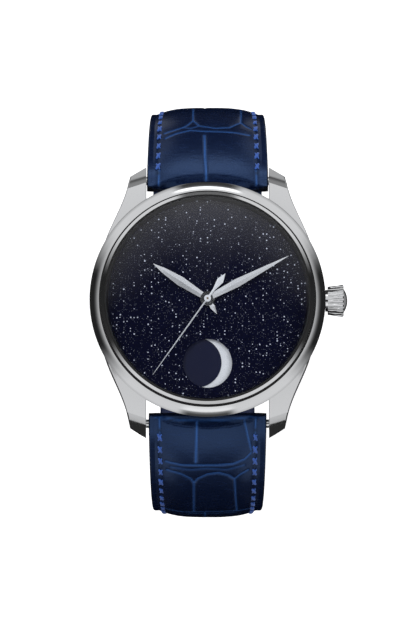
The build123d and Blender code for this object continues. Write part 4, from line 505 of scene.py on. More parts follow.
@dataclass(frozen=True)
class Mottled(Finish):
    """Two shades in soft clouds over a fine even relief.

    Cloud and grain are given as spots a millimetre and their detail, the relief in millimetres.
    """

    shade: str
    colour: str
    cloud: Pair
    grain: Pair
    relief: float
    values: tuple[tuple[str, float], ...]

    def shader(self, tree: Tree, place: Socket) -> Socket:
        """Builds the mottled surface.

        Args:
            tree: The material's node tree.
            place: Object coordinates in millimetres.

        Returns:
            The shader's output.
        """
        cloud = noise(tree, place, *self.cloud)
        colour = blend(tree, cloud, linear(self.shade), linear(self.colour))
        normal = bump(tree, noise(tree, place, *self.grain), self.relief)
        return surface(tree, {"Base Color": colour, "Normal": normal, **dict(self.values)})


@dataclass(frozen=True)
class MoonSilver(Mottled):
    """A silvered disc, blasted to a fine pale grain with a faint blotchy relief."""

    shade: str = "#DEE1E2"
    colour: str = "#F6F7F7"
    cloud: Pair = (1.1, 5.0)
    grain: Pair = (9.0, 2.0)
    relief: float = 0.01
    values: tuple[tuple[str, float], ...] = (("Roughness", 0.55),)


@dataclass(frozen=True)
class Lacquer(Finish):
    """A sprayed and rubbed lacquer, even in colour with a very slight orange peel."""

    name: str
    colour: str
    roughness: float = 0.3

    def label(self) -> str:
        """The lacquer's own name."""
        return self.name

    def shader(self, tree: Tree, place: Socket) -> Socket:
        """Builds the lacquer.

        Args:
            tree: The material's node tree.
            place: Object coordinates in millimetres.

        Returns:
            The shader's output.
        """
        peel = noise(tree, place, 2.5, 1.0)
        normal = bump(tree, peel, 0.004)
        return surface(
            tree,
            {
                "Base Color": linear(self.colour), "Roughness": self.roughness, "Coat Weight": 0.3,
                "Normal": normal,
            },
        )


@dataclass(frozen=True)
class Sapphire(Finish):
    """Clear synthetic sapphire, index 1.77, polished and coated against glare.

    It is thin, so it passes light straight through and mirrors more towards its rim.
    """

    index: float = 1.77
    coating: float = 0.65
    falloff: float = 5.0

    def shader(self, tree: Tree, place: Socket) -> Socket:
        """Builds the clear crystal.

        Args:
            tree: The material's node tree.
            place: Object coordinates in millimetres, not used here.

        Returns:
            The shader's output.
        """
        facing = add_node(tree, "ShaderNodeLayerWeight", {"Blend": 0.5}).outputs["Facing"]
        power = maths(tree, "POWER", facing, self.falloff)
        straight = ((self.index - 1) / (self.index + 1)) ** 2
        mirror = maths(
            tree, "MULTIPLY_ADD", power, self.coating * (1 - straight), self.coating * straight
        )
        clear = add_node(tree, "ShaderNodeBsdfTransparent", {"Color": linear("#FCFDFF")})
        gloss = surface(tree, {"Base Color": linear("#FFFFFF"), "Metallic": 1.0, "Roughness": 0.02})
        return add_node(
            tree, "ShaderNodeMixShader", {0: mirror, 1: clear.outputs["BSDF"], 2: gloss}
        ).outputs["Shader"]


@dataclass(frozen=True)
class Ruby(Mottled):
    """Synthetic ruby, turned and polished, deep red and a little clear."""

    shade: str = "#B3123C"
    colour: str = "#E0355C"
    cloud: Pair = (2.0, 1.0)
    grain: Pair = (2.0, 1.0)
    relief: float = 0.0
    values: tuple[tuple[str, float], ...] = (
        ("Roughness", 0.05), ("IOR", 1.76), ("Coat Weight", 0.5)
    )


@dataclass(frozen=True)
class Rubber(Mottled):
    """Moulded black nitrile rubber with a dull skin."""

    shade: str = "#131314"
    colour: str = "#131314"
    cloud: Pair = (6.0, 2.0)
    grain: Pair = (6.0, 2.0)
    relief: float = 0.01
    values: tuple[tuple[str, float], ...] = (("Roughness", 0.6),)


@dataclass(frozen=True)
class ScaledLeather(Finish):
    """Glazed blue leather with large square scales.

    The dye is deep and a little uneven, and paler in the creases, which the mesh carries as the
    attribute crease. A second attribute holds the painted edges and the painted shade in the needle
    holes, both in the edge colour. The blue glaze tints the soft shine. The grain is the size of
    the skin's cells in millimetres.
    """

    deep: str = "#081129"
    rich: str = "#0B1733"
    bloom: str = "#122247"
    crease: str = "#2F5A9C"
    edge: str = "#070D1E"
    shine: str = "#7FA6E6"
    stretch: Point = (0.5, 1.6, 1.2)
    grain: float = 0.35

    def shader(self, tree: Tree, place: Socket) -> Socket:
        """Builds the leather.

        Args:
            tree: The material's node tree.
            place: Object coordinates in millimetres.

        Returns:
            The shader's output.
        """
        crease = add_node(tree, "ShaderNodeAttribute", attribute_name="crease")
        rim = add_node(tree, "ShaderNodeAttribute", attribute_name="rim")
        dye = noise(tree, place, 0.3, 4.0)
        streak_place = add_node(
            tree, "ShaderNodeVectorMath", {0: place, 1: self.stretch}, operation="MULTIPLY"
        )
        streak = noise(tree, streak_place.outputs[0], 1.1, 4.0, 0.55)
        body = blend(tree, dye, linear(self.deep), linear(self.rich))
        worn = remap(tree, streak, source=(0.5, 0.85), target=(0.0, 0.5))
        lit = blend(tree, worn, body, linear(self.bloom))
        creased = blend(tree, crease.outputs["Fac"], lit, linear(self.crease))
        # The edge colour paints the edges, and also paints shade into the needle holes.
        colour = blend(tree, rim.outputs["Fac"], creased, linear(self.edge))
        grain = add_node(
            tree, "ShaderNodeTexVoronoi",
            {"Vector": place, "Scale": 1 / self.grain, "Smoothness": 0.8}, feature="SMOOTH_F1",
        )
        folds = maths(tree, "MULTIPLY_ADD", streak, 2.0, grain.outputs["Distance"])
        normal = bump(tree, folds, 0.02, 0.5)
        rough = remap(tree, streak, target=(0.2, 0.32))
        return surface(
            tree,
            {
                "Base Color": colour, "Roughness": rough, "IOR": 1.5, "Specular IOR Level": 1.0,
                "Specular Tint": linear(self.shine), "Normal": normal,
            },
        )


@dataclass(frozen=True)
class CalfLining(Finish):
    """Plain dyed calf leather on the wrist side, matt, with its pores apart in millimetres."""

    colour: str = "#1B2444"
    shade: str = "#121A35"
    pore: float = 0.4

    def shader(self, tree: Tree, place: Socket) -> Socket:
        """Builds the lining leather.

        Args:
            tree: The material's node tree.
            place: Object coordinates in millimetres.

        Returns:
            The shader's output.
        """
        pores = add_node(tree, "ShaderNodeTexVoronoi", {"Vector": place, "Scale": 1 / self.pore})
        patch = noise(tree, place, 0.2, 3.0)
        colour = blend(tree, patch, linear(self.colour), linear(self.shade))
        normal = bump(tree, pores.outputs["Distance"], 0.04, 0.5)
        return surface(tree, {"Base Color": colour, "Roughness": 0.62, "Normal": normal})


@dataclass(frozen=True)
class WaxedThread(Mottled):
    """Waxed linen thread, brighter blue than the leather, with its twist about 0.25 mm apart."""

    shade: str = "#12306F"
    colour: str = "#3B6CC8"
    cloud: Pair = (4.0, 2.0)
    grain: Pair = (4.0, 2.0)
    relief: float = 0.03
    values: tuple[tuple[str, float], ...] = (("Roughness", 0.5), ("Sheen Weight", 0.2))


class Side(Enum):
    """Which end of the case a strap half hangs from."""

    TWELVE = 1
    SIX = -1


@dataclass(frozen=True)
class Route:
    """The line a strap half follows from its spring bar.

    Each bend is a radius in millimetres and a turn in degrees, and the line runs on straight.
    """

    bends: tuple[Pair, ...]
    length: float
    side: Side
    bar_y: float = 21.8
    bar_z: float = 2.6
    start_angle: float = -20.0

    def at(self, along: float, out: float = 0.0) -> tuple[float, float, float]:
        """A point of the route.

        Args:
            along: Length from the spring bar, in millimetres. It may be negative.
            out: Distance out from the wrist side.

        Returns:
            Y and Z in millimetres, and the heading in degrees on the 12 o'clock side.
        """
        y, z, heading, left = self.bar_y, self.bar_z, self.start_angle, along
        for radius, turn in self.bends if along > 0 else ():
            bend = min(left, radius * math.radians(turn))
            middle = (
                y + radius * math.sin(math.radians(heading)),
                z - radius * math.cos(math.radians(heading)),
            )
            heading -= math.degrees(bend / radius)
            y = middle[0] - radius * math.sin(math.radians(heading))
            z = middle[1] + radius * math.cos(math.radians(heading))
            left -= bend
            if left <= 0:
                left = 0.0
                break
        y += left * math.cos(math.radians(heading)) - out * math.sin(math.radians(heading))
        z += left * math.sin(math.radians(heading)) + out * math.cos(math.radians(heading))
        return y, z, heading

    def point(self, across: float, along: float, out: float) -> Point:
        """A point of the strap half in the watch's frame.

        Args:
            across: Distance towards 3 o'clock.
            along: Length from the spring bar.
            out: Distance out from the wrist side.

        Returns:
            X, Y and Z in millimetres.
        """
        y, z, _ = self.at(along, out)
        return across, self.side.value * y, z


@dataclass(frozen=True)
class Crease:
    """One crease between scales, as points (across, along) on the strap."""

    points: tuple[Pair, ...]
    depth: float = 0.11
    width: float = 0.14


@dataclass
class StitchRow:
    """A row of stitches made by Geometry Nodes along a line of points."""

    length: float = 1.75
    thickness: float = 0.6
    slant: float = 26.0
    evenness: Pair = (0.9, 1.08)
    under_strand: Point = (0.94, 0.62, 0.9)
    seed: int = 7

    def tree(self, thread: bpy.types.Material) -> Tree:
        """Builds the node tree that lays stitches along a line.

        Args:
            thread: The thread's material.

        Returns:
            The tree, with named inputs for its sizes.
        """
        found = bpy.data.node_groups.get("stitch_row")
        if found is not None:
            return found
        tree = bpy.data.node_groups.new("stitch_row", "GeometryNodeTree")
        face = tree.interface
        face.new_socket("Line", in_out="INPUT", socket_type="NodeSocketGeometry")
        for name in ("Length", "Thickness", "Slant"):
            face.new_socket(name, in_out="INPUT", socket_type="NodeSocketFloat")
        for name in ("Count", "Seed"):
            face.new_socket(name, in_out="INPUT", socket_type="NodeSocketInt")
        face.new_socket("Stitches", in_out="OUTPUT", socket_type="NodeSocketGeometry")
        given = add_node(tree, "NodeGroupInput").outputs
        curve = add_node(tree, "GeometryNodeMeshToCurve", {"Mesh": given["Line"]})
        spaced = add_node(
            tree, "GeometryNodeResampleCurve", {"Curve": curve, "Count": given["Count"]},
            mode="COUNT",
        )
        bead = add_node(
            tree, "GeometryNodeMeshUVSphere", {"Segments": 10, "Rings": 8, "Radius": 0.5}
        )
        jitter = add_node(
            tree, "FunctionNodeRandomValue",
            {2: self.evenness[0], 3: self.evenness[1], "Seed": given["Seed"]}, data_type="FLOAT",
        )
        tangent = add_node(tree, "GeometryNodeInputTangent")
        run = add_node(tree, "FunctionNodeAlignRotationToVector", {"Vector": tangent}, axis="X")
        flat = add_node(
            tree, "FunctionNodeAlignRotationToVector", {"Rotation": run, "Vector": (1.0, 0.0, 0.0)},
            axis="Y", pivot_axis="X",
        )
        lean = add_node(tree, "ShaderNodeCombineXYZ", {"Z": given["Slant"]})
        leaning = add_node(tree, "FunctionNodeEulerToRotation", {"Euler": lean})
        turned = add_node(
            tree, "FunctionNodeRotateRotation", {"Rotation": flat, "Rotate By": leaning},
            rotation_space="LOCAL",
        )
        size = add_node(
            tree, "ShaderNodeCombineXYZ",
            {"X": given["Length"], "Y": given["Thickness"], "Z": given["Thickness"]},
        )
        scaled = add_node(
            tree, "ShaderNodeVectorMath", {0: size, "Scale": jitter.outputs[1]}, operation="SCALE"
        )
        back = add_node(tree, "FunctionNodeInvertRotation", {"Rotation": leaning})
        crossed = add_node(
            tree, "FunctionNodeRotateRotation", {"Rotation": flat, "Rotate By": back},
            rotation_space="LOCAL",
        )
        thinner = add_node(
            tree, "ShaderNodeVectorMath", {0: scaled, 1: self.under_strand}, operation="MULTIPLY"
        )
        both = add_node(tree, "GeometryNodeJoinGeometry")
        for way, swell in ((crossed, thinner), (turned, scaled)):
            strand = add_node(
                tree, "GeometryNodeInstanceOnPoints",
                {"Points": spaced, "Instance": bead, "Rotation": way, "Scale": swell},
            )
            tree.links.new(strand.outputs["Instances"], both.inputs["Geometry"])
        real = add_node(tree, "GeometryNodeRealizeInstances", {"Geometry": both})
        dyed = add_node(tree, "GeometryNodeSetMaterial", {"Geometry": real, "Material": thread})
        smooth = add_node(tree, "GeometryNodeSetShadeSmooth", {"Geometry": dyed})
        add_node(tree, "NodeGroupOutput", {"Stitches": smooth})
        return tree

    def lay(
        self,
        name: str,
        lines: Sequence[Sequence[Point]],
        count: int,
        thread: bpy.types.Material,
    ) -> Piece:
        """Lays stitches along lines.

        Args:
            name: The piece's name.
            lines: Each line's points, in millimetres.
            count: Stitches in a line.
            thread: The thread's material.

        Returns:
            The stitches as one plain mesh.
        """
        points: list[Point] = []
        edges: list[tuple[int, int]] = []
        for line in lines:
            first = len(points)
            points.extend(line)
            edges.extend((first + i, first + i + 1) for i in range(len(line) - 1))
        mesh = bpy.data.meshes.new(name)
        mesh.from_pydata((np.array(points) * MM).tolist(), edges, [])
        piece = new_object(name, mesh)
        maker = piece.modifiers.new("stitches", "NODES")
        maker.node_group = self.tree(thread)
        sizes = {
            "Length": self.length * MM, "Thickness": self.thickness * MM,
            "Slant": math.radians(self.slant), "Count": count, "Seed": self.seed,
        }
        for item in maker.node_group.interface.items_tree:
            if item.name in sizes and item.in_out == "INPUT":
                maker[item.identifier] = sizes[item.name]
        bake_modifiers(piece)
        return piece


@dataclass
class StrapHalf:
    """One half of the strap: padded scaled leather over a calf lining, with its stitches.

    Sizes are in millimetres. Lengths run along the strap from its spring bar, and places across it
    from its middle. The leather rises from a roll at the case into the padding, which fades out
    towards the free end. The creases are carved into the top, and the scales swell between them.
    """

    name: str
    body: str
    route: Route
    creases: list[Crease]
    pad_end: float
    hole_places: tuple[float, ...] = ()
    slot: bool = False
    width: float = 21.7
    end_width: float = 18.0
    taper_z: float = -45.0
    edge_thick: float = 1.1
    pad_thick: float = 1.3
    pad_margin: float = 1.0
    pad_power: float = 3.2
    roll_start: float = -1.0
    roll_length: float = 1.2
    roll_sag: float = 1.1
    thick_run: float = 7.0
    pad_fade: float = 13.0
    sag_half: float = 7.3
    seam_depth: float = 0.1
    seam_width: float = 0.35
    edge_round: float = 0.3
    round_share: float = 0.4
    under_round: float = 0.2
    under_share: float = 0.992
    plain_edge: float = 0.6
    carve_fade: float = 0.5
    carve_nose: float = 1.9
    nose_fade: float = 0.4
    crease_reach: float = 9.0
    full_depth: float = 0.15
    edge_crowding: float = 0.86
    scale_swell: float = 0.1
    swell_reach: float = 1.3
    rim_width: float = 0.35
    needle_radius: float = 0.42
    lining_thick: float = 1.0
    lining_start: float = 3.0
    lining_inset: float = 0.2
    knuckle: float = 1.95
    end_knuckle: float = 1.25
    tip: float = 9.0
    tip_power: float = 0.41
    hole_radius: float = 0.9
    hole_points: int = 24
    slot_width: float = 3.0
    slot_run: float = 2.4
    cut_reach: float = 3.0
    stitch_inset: float = 1.95
    stitch_start: float = 1.9
    stitch_pitch: float = 2.45
    plain_end: float = 11.5
    across_points: int = 121
    under_points: int = 15
    row_pitch: float = 0.22
    leather: ScaledLeather = field(default_factory=ScaledLeather)
    lining: CalfLining = field(default_factory=CalfLining)
    thread: WaxedThread = field(default_factory=WaxedThread)

    def half_width(self, along: float) -> float:
        """Half the strap's width at a length along it."""
        level = self.route.at(max(along, 0.0))[1]
        share = (self.route.bar_z - level) / (self.route.bar_z - self.taper_z)
        full = self.width / 2 + (self.end_width - self.width) / 2 * min(max(share, 0.0), 1.0)
        if self.hole_places:
            left = self.route.length - along
            if left < self.tip:
                full *= max(left / self.tip, 1e-4) ** self.tip_power
        return full

    def crease_maps(
        self,
        across: np.ndarray,
        along: np.ndarray,
    ) -> tuple[np.ndarray, np.ndarray, np.ndarray]:
        """How deep the creases are at points of the top.

        Args:
            across: Places across the strap.
            along: Lengths along it.

        Returns:
            Depth in millimetres, a mask for the dye and the distance to the nearest crease.
        """
        depth = np.zeros_like(across)
        mask = np.zeros_like(across)
        nearest = np.full_like(across, self.crease_reach)
        for crease in self.creases:
            for (x0, s0), (x1, s1) in zip(crease.points[:-1], crease.points[1:]):
                dx, ds = x1 - x0, s1 - s0
                share = np.clip(
                    ((across - x0) * dx + (along - s0) * ds) / (dx * dx + ds * ds), 0, 1
                )
                away = np.hypot(across - x0 - share * dx, along - s0 - share * ds)
                fall = np.exp(-((away / crease.width) ** 2))
                depth = np.maximum(depth, crease.depth * fall)
                mask = np.maximum(mask, fall * min(crease.depth / self.full_depth, 1.0))
                nearest = np.minimum(nearest, away)
        return depth, mask, nearest

    def rows(self, start: float, end: float, nose: float = 0.0, tail: float = 0.0) -> np.ndarray:
        """Lengths along the strap for the mesh's rows, closer at its rounded ends.

        Args:
            start: First length.
            end: Last length.
            nose: Length of a rounded start.
            tail: Length of a rounded end.

        Returns:
            The lengths in order.
        """
        middle = np.arange(start + nose, end - tail, self.row_pitch)
        parts = [middle]
        if nose:
            turn = np.linspace(0, math.pi / 2, 9)[:-1]
            parts.insert(0, start + nose * (1 - np.cos(turn)))
        if tail:
            turn = np.linspace(0, math.pi / 2, 12)
            parts.append(end - tail * (1 - np.sin(turn)))
        else:
            parts.append(np.array([end]))
        return np.unique(np.concatenate(parts).round(5))

    def ring(self) -> tuple[np.ndarray, np.ndarray]:
        """Shares across the top and the underside of a section, with more points by the edges."""
        top = np.sin(np.linspace(-1, 1, self.across_points) * math.pi / 2 * self.edge_crowding)
        top = top / top[-1]
        under = np.linspace(1, -1, self.under_points)
        return top, under

    def section(self, along: float, across: np.ndarray) -> tuple[np.ndarray, float]:
        """The heights of the top across a row, and the height of its underside.

        Args:
            along: Length along the strap.
            across: Places across it, in millimetres.

        Returns:
            Heights of the top without creases, and the underside's height.
        """
        half = self.half_width(along)
        fade = float(smooth_step((self.pad_end - along) / self.pad_fade))
        sag = self.roll_sag * (across / self.sag_half) ** 2
        rise = smooth_step((along - self.roll_start + sag) / self.roll_length)
        share = np.clip(np.abs(across) / max(half - self.pad_margin, 0.1), 0.0, 1.0)
        pad = self.pad_thick * (1 - share**self.pad_power)
        beside = (half - np.abs(across) - self.stitch_inset) / self.seam_width
        seam = self.seam_depth * np.exp(-(beside**2))
        thicker = (self.knuckle - self.edge_thick) * (1 - smooth_step(along / self.thick_run))
        top = (self.edge_thick + thicker * share**4 + fade * (pad - seam)) * rise
        under = 0.0
        ends = [(along, self.knuckle, along < 0)]
        if self.slot:
            away = along - self.route.length
            ends.append((away, self.end_knuckle, away > 0))
        for away, radius, outer in ends:
            if abs(away) < radius or outer:
                round_half = math.sqrt(max(radius**2 - away**2, 1e-4))
                top = np.maximum(top, round_half) if not outer or away < 0 else top
                top = np.full_like(across, round_half) if outer and away > 0 else top
                under = -round_half
        return top, under

    def solid(
        self,
        name: str,
        lengths: np.ndarray,
        heights: Callable[[float, np.ndarray], tuple[np.ndarray, float]],
        inset: float,
        carved: bool,
    ) -> Piece:
        """A closed band of leather along the route.

        Args:
            name: The piece's name.
            lengths: Lengths of its rows.
            heights: Top heights and underside height for a length and places across.
            inset: How far its edges stand in from the strap's edges.
            carved: Whether the creases are carved into its top.

        Returns:
            The mesh object, with its dye masks.
        """
        top, under = self.ring()
        around = len(top) + len(under)
        points = np.zeros((len(lengths), around, 3))
        crease = np.zeros((len(lengths), around))
        rim = np.zeros((len(lengths), around))
        for row, along in enumerate(lengths):
            half = max(self.half_width(float(along)) - inset, 0.05)
            across = top * half
            high, low = heights(float(along), across)
            inward = half - np.abs(across)
            edge = self.edge_round
            rounded = edge - np.sqrt(np.maximum(edge**2 - np.maximum(edge - inward, 0) ** 2, 0))
            tall = np.maximum(high - low, 0.0)
            high = high - np.minimum(rounded, tall * self.round_share)
            if carved:
                sunk, mask, away = self.crease_maps(across, np.full_like(across, along))
                swell = -self.scale_swell * np.exp(-away / self.swell_reach)
                calm = smooth_step((inward - self.plain_edge) / self.carve_fade)
                calm = calm * smooth_step((along + self.carve_nose) / self.nose_fade)
                high = high + (swell - sunk) * calm
                crease[row, : len(top)] = mask * calm
            ring_out = np.concatenate([high, np.full(len(under), low)])
            ring_x = np.concatenate([across, under * half * self.under_share])
            for corner, side in ((len(top), 1), (-1, -1)):
                ring_out[corner] += min(self.under_round, float(tall.min()) * 0.3)
                ring_x[corner] = side * half
            y0, z0, heading = self.route.at(float(along))
            turn = math.radians(heading)
            points[row, :, 0] = ring_x
            points[row, :, 1] = self.route.side.value * (y0 - ring_out * math.sin(turn))
            points[row, :, 2] = z0 + ring_out * math.cos(turn)
            rim[row, :] = smooth_step(1 - (half - np.abs(ring_x)) / self.rim_width)
            # Painted shade for the needle holes joins the painted edge in the same mask.
            if carved:
                rim[row, : len(top)] = np.maximum(
                    rim[row, : len(top)], self.needle_marks(float(along), across)
                )
        faces = sweep_faces(len(lengths), around, False)
        if self.route.side is Side.SIX:
            faces = [face[::-1] for face in faces]
        piece = mesh_object(name, points.reshape(-1, 3), faces)
        add_masks(piece, crease, rim)
        return piece

    def cutter(self, outline: list[Pair]) -> Piece:
        """A straight tool through the strap.

        Args:
            outline: Its corners as places across and along the strap.

        Returns:
            The tool's object.
        """
        count = len(outline)
        corners = [
            self.route.point(x, along, out) for out in (-self.cut_reach, self.cut_reach + 1.0)
            for x, along in outline
        ]
        faces = [[k, (k + 1) % count, count + (k + 1) % count, count + k] for k in range(count)]
        faces += [list(range(count))[::-1], list(range(count, 2 * count))]
        return mesh_object("cutter", np.array(corners), faces, False)

    def cut(self, piece: Piece) -> None:
        """Cuts the buckle holes or the tongue's slot out of a band."""
        cutters: list[Piece] = []
        turns = [k * math.tau / self.hole_points for k in range(self.hole_points)]
        size = self.hole_radius
        for along in self.hole_places:
            ring = [(size * math.cos(turn), along + size * math.sin(turn)) for turn in turns]
            cutters.append(self.cutter(ring))
        if self.slot:
            low, high = self.route.length - self.slot_run, self.route.length + self.cut_reach
            half = self.slot_width / 2
            cutters.append(self.cutter([(-half, low), (half, low), (half, high), (-half, high)]))
        for cutter in cutters:
            tool = piece.modifiers.new("cut", "BOOLEAN")
            tool.object = cutter
            tool.operation = "DIFFERENCE"
            tool.solver = "EXACT"
        if cutters:
            bake_modifiers(piece)
        for cutter in cutters:
            bpy.data.objects.remove(cutter)

    def lining_heights(self, along: float, across: np.ndarray) -> tuple[np.ndarray, float]:
        """Heights of the lining's two faces."""
        return np.full_like(across, -0.02), -self.lining_thick

    @property
    def stitch_count(self) -> int:
        """How many stitches a row has."""
        end = self.route.length - (self.tip if self.hole_places else self.plain_end)
        return int((end - self.stitch_start) / self.stitch_pitch) + 1

    def needle_marks(self, along: float, across: np.ndarray) -> np.ndarray:
        """A mask of painted shade for the needle holes between the stitches.

        Args:
            along: Length along the strap.
            across: Places across it.

        Returns:
            The mask.
        """
        count = self.stitch_count
        step = (along - self.stitch_start) / self.stitch_pitch
        if not -0.7 < step < count - 0.3:
            return np.zeros_like(across)
        gap = (step - math.floor(step) - 0.5) * self.stitch_pitch
        aside = self.half_width(along) - self.stitch_inset - np.abs(across)
        return np.exp(-((gap / self.needle_radius) ** 2) - (aside / self.needle_radius) ** 2)

    def stitch_lines(self) -> list[list[Point]]:
        """The two rows of stitches beside the padding, one point for each stitch."""
        lines = []
        for side in (-1, 1):
            line = []
            for k in range(self.stitch_count):
                along = self.stitch_start + k * self.stitch_pitch
                across = side * (self.half_width(along) - self.stitch_inset)
                high, _ = self.section(along, np.array([across]))
                line.append(self.route.point(across, along, float(high[0]) + 0.05))
            lines.append(line)
        return lines

    def build(self) -> list[Piece]:
        """Builds the half and dresses it.

        Returns:
            Its pieces.
        """
        end = self.route.length + (self.end_knuckle if self.slot else -0.02)
        tail = self.end_knuckle if self.slot else 3.0
        upper = self.solid(
            f"{self.name}_upper", self.rows(-self.knuckle, end, nose=self.knuckle, tail=tail),
            self.section, 0.0, True,
        )
        self.cut(upper)
        upper.data.materials.clear()
        upper.data.materials.append(self.leather.material())
        last = self.route.length - (2.5 if self.slot else 0.1)
        under = self.solid(
            f"{self.name}_calf", self.rows(self.lining_start, last, tail=0.0 if self.slot else 3.0),
            self.lining_heights, self.lining_inset, False,
        )
        if self.hole_places:
            self.cut(under)
        under.data.materials.clear()
        under.data.materials.append(self.lining.material())
        stitches = StitchRow().lay(
            f"{self.name}_stitches", self.stitch_lines(), self.stitch_count, self.thread.material()
        )
        for piece, slot in ((upper, "strap_leather"), (under, "lining_leather")):
            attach(piece, self.body)
        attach(stitches, self.body)
        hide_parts(f"{self.name}_leather")
        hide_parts(f"{self.name}_lining")
        return [upper, under, stitches]


@dataclass(frozen=True)
class ScaleRule:
    """Rule for the square scales on a stretch of hide.

    Sizes are in millimetres. Each row of scales is shorter than the one before, within a spread.
    The cuts between the scales of a row stand at shares of half the padded width, and every third
    row has a set of its own.
    """

    start: float
    end: float
    seed: int
    half: float = 7.4
    first_step: float = 8.0
    least_step: float = 4.2
    shrink: float = 0.95
    spread: Pair = (0.92, 1.08)
    line_points: int = 13
    sway: float = 0.5
    sway_points: int = 5
    twin_gap: Pair = (0.5, 1.2)
    twin_width: float = 0.06
    twin_depth: float = 0.15
    even_cuts: tuple[float, ...] = (-0.04,)
    odd_cuts: tuple[float, ...] = (-0.38, 0.5)
    third_cuts: tuple[float, ...] = (-0.62, -0.02, 0.58)
    cut_shift: float = 0.4
    cut_lean: float = 0.5
    cut_gaps: Pair = (0.3, 0.2)

    def creases(self) -> list[Crease]:
        """The creases between the rows, their faint twins and the cuts between the scales."""
        pick = np.random.default_rng(self.seed)
        places = np.linspace(-self.half, self.half, self.line_points)
        knots = np.linspace(-self.half, self.half, self.sway_points)
        found: list[Crease] = []
        along, step, row = self.start, self.first_step, 0
        while along < self.end:
            wave = pick.uniform(-self.sway, self.sway, self.sway_points)
            line = [(float(x), float(along + np.interp(x, knots, wave))) for x in places]
            found.append(Crease(tuple(line)))
            gap = float(pick.uniform(*self.twin_gap))
            twin = tuple((x, s + gap) for x, s in line[3:-2])
            found.append(Crease(twin, self.twin_width, self.twin_depth))
            step = max(self.least_step, step * self.shrink) * float(pick.uniform(*self.spread))
            cuts = self.odd_cuts if row % 2 else self.even_cuts
            if row % 3 == 2:
                cuts = self.third_cuts
            for cut in cuts:
                x0 = cut * self.half + float(pick.uniform(-self.cut_shift, self.cut_shift))
                x1 = x0 + float(pick.uniform(-self.cut_lean, self.cut_lean))
                top = along + self.cut_gaps[0]
                low = min(along + step - self.cut_gaps[1], self.end)
                found.append(
                    Crease(
                        tuple((x0 + (x1 - x0) * k / 4, top + (low - top) * k / 4) for k in range(5))
                    )
                )
            along += step
            row += 1
        return found


@dataclass
class Keeper:
    """A flat leather loop round the short half."""

    name: str
    body: str
    route: Route
    along: float
    inner_half: float = 9.3
    low: float = -1.3
    high: float = 3.5
    wall: float = 1.0
    length: float = 4.5
    corner: float = 0.75
    edge: float = 0.28
    chamfer: float = 0.15
    line_inset: float = 0.75
    line_width: float = 0.13
    line_depth: float = 0.07
    face_length: float = 0.7
    arc_points: int = 8
    band_points: int = 25
    leather: ScaledLeather = field(default_factory=ScaledLeather)

    def path(self) -> list[tuple[float, float, float, float]]:
        """The loop's inner line as places across and out, with the way out of each."""
        middle = (self.high + self.low) / 2
        half_out = (self.high - self.low) / 2
        found = []
        corners = ((1, 1, 0), (-1, 1, 90), (-1, -1, 180), (1, -1, 270))
        for sign_x, sign_out, first in corners:
            for k in range(self.arc_points + 1):
                turn = math.radians(first + 90 * k / self.arc_points)
                way = (math.cos(turn), math.sin(turn))
                found.append(
                    (
                        sign_x * (self.inner_half - self.corner) + self.corner * way[0],
                        middle + sign_out * (half_out - self.corner) + self.corner * way[1], way[0],
                        way[1],
                    )
                )
        full = []
        for (x0, o0, a0, b0), (x1, o1, a1, b1) in zip(found, found[1:] + found[:1]):
            steps = max(1, int(math.hypot(x1 - x0, o1 - o0) / self.face_length))
            for k in range(steps):
                share = k / steps
                full.append((x0 + (x1 - x0) * share, o0 + (o1 - o0) * share, a0, b0))
        return full

    def section(self) -> list[tuple[float, float, float, float]]:
        """The band's section as places along and out of the inner line, with its dye masks."""
        half = self.length / 2
        found = []
        for u in np.linspace(-half + self.edge, half - self.edge, self.band_points):
            line = math.exp(-(((abs(u) - half + self.line_inset) / self.line_width) ** 2))
            found.append((float(u), self.wall - self.line_depth * line, line * 0.5, 0.0))
        corner = []
        for k in range(1, 6):
            turn = math.radians(90 - 18 * k)
            u = half - self.edge + self.edge * math.cos(turn)
            corner.append((u, self.wall - self.edge + self.edge * math.sin(turn), 0.0, k / 5))
        corner += [(half, self.chamfer, 0.0, 1.0), (half - self.chamfer, 0.0, 0.0, 1.0)]
        found += corner + [(-u, *rest) for u, *rest in reversed(corner)]
        return found

    def build(self) -> Piece:
        """Builds and dresses the loop.

        Returns:
            The loop.
        """
        y0, z0, heading = self.route.at(self.along)
        turn = math.radians(heading)
        side = self.route.side.value
        section = self.section()
        path = self.path()
        points, crease, rim = [], [], []
        for x, out, way_x, way_out in path:
            for u, w, line, worn in section:
                px, po = x + way_x * w, out + way_out * w
                points.append(
                    (
                        px, side * (y0 + u * math.cos(turn) - po * math.sin(turn)),
                        z0 + u * math.sin(turn) + po * math.cos(turn),
                    )
                )
                crease.append(line)
                rim.append(worn)
        faces = sweep_faces(len(path), len(section), True)
        piece = mesh_object(f"{self.name}_loop", np.array(points), faces)
        add_masks(piece, np.array(crease), np.array(rim))
        piece.data.materials.append(self.leather.material())
        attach(piece, self.body)
        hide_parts(self.name)
        return piece


class Steel(Enum):
    """The steels of the case, the hands and the movement."""

    MIRROR = Metal("polished_steel", "#D9DADC", 0.07, Grain.MIRROR, 0.5, 0.0004, 0.03)
    SATIN = Metal("satin_steel", "#C4C6C8", 0.24, Grain.CIRCULAR, 0.05, 0.0015, 0.06)
    HANDS = Metal("polished_rhodium_hands", "#F4F5F6", 0.14, Grain.MIRROR, 0.4, 0.0003, 0.02)
    FLANGE = Metal("ruthenium_grey_flange", "#55585C", 0.3, Grain.CIRCULAR, 0.05, 0.001, 0.05)
    TURNED = Metal("turned_steel", "#CDCFD1", 0.16, Grain.CIRCULAR, 0.08, 0.0012, 0.05)
    PINION = Metal("hardened_pinion_steel", "#A9ABAF", 0.16, Grain.MIRROR, 0.1, 0.0008, 0.05)
    SCREW = Metal("blued_screw_steel", "#31468C", 0.12, Grain.CIRCULAR, 0.06, 0.0006, 0.03)
    SPRING = Metal("spring_steel", "#70747C", 0.22, Grain.MIRROR, 0.1, 0.0006, 0.04)


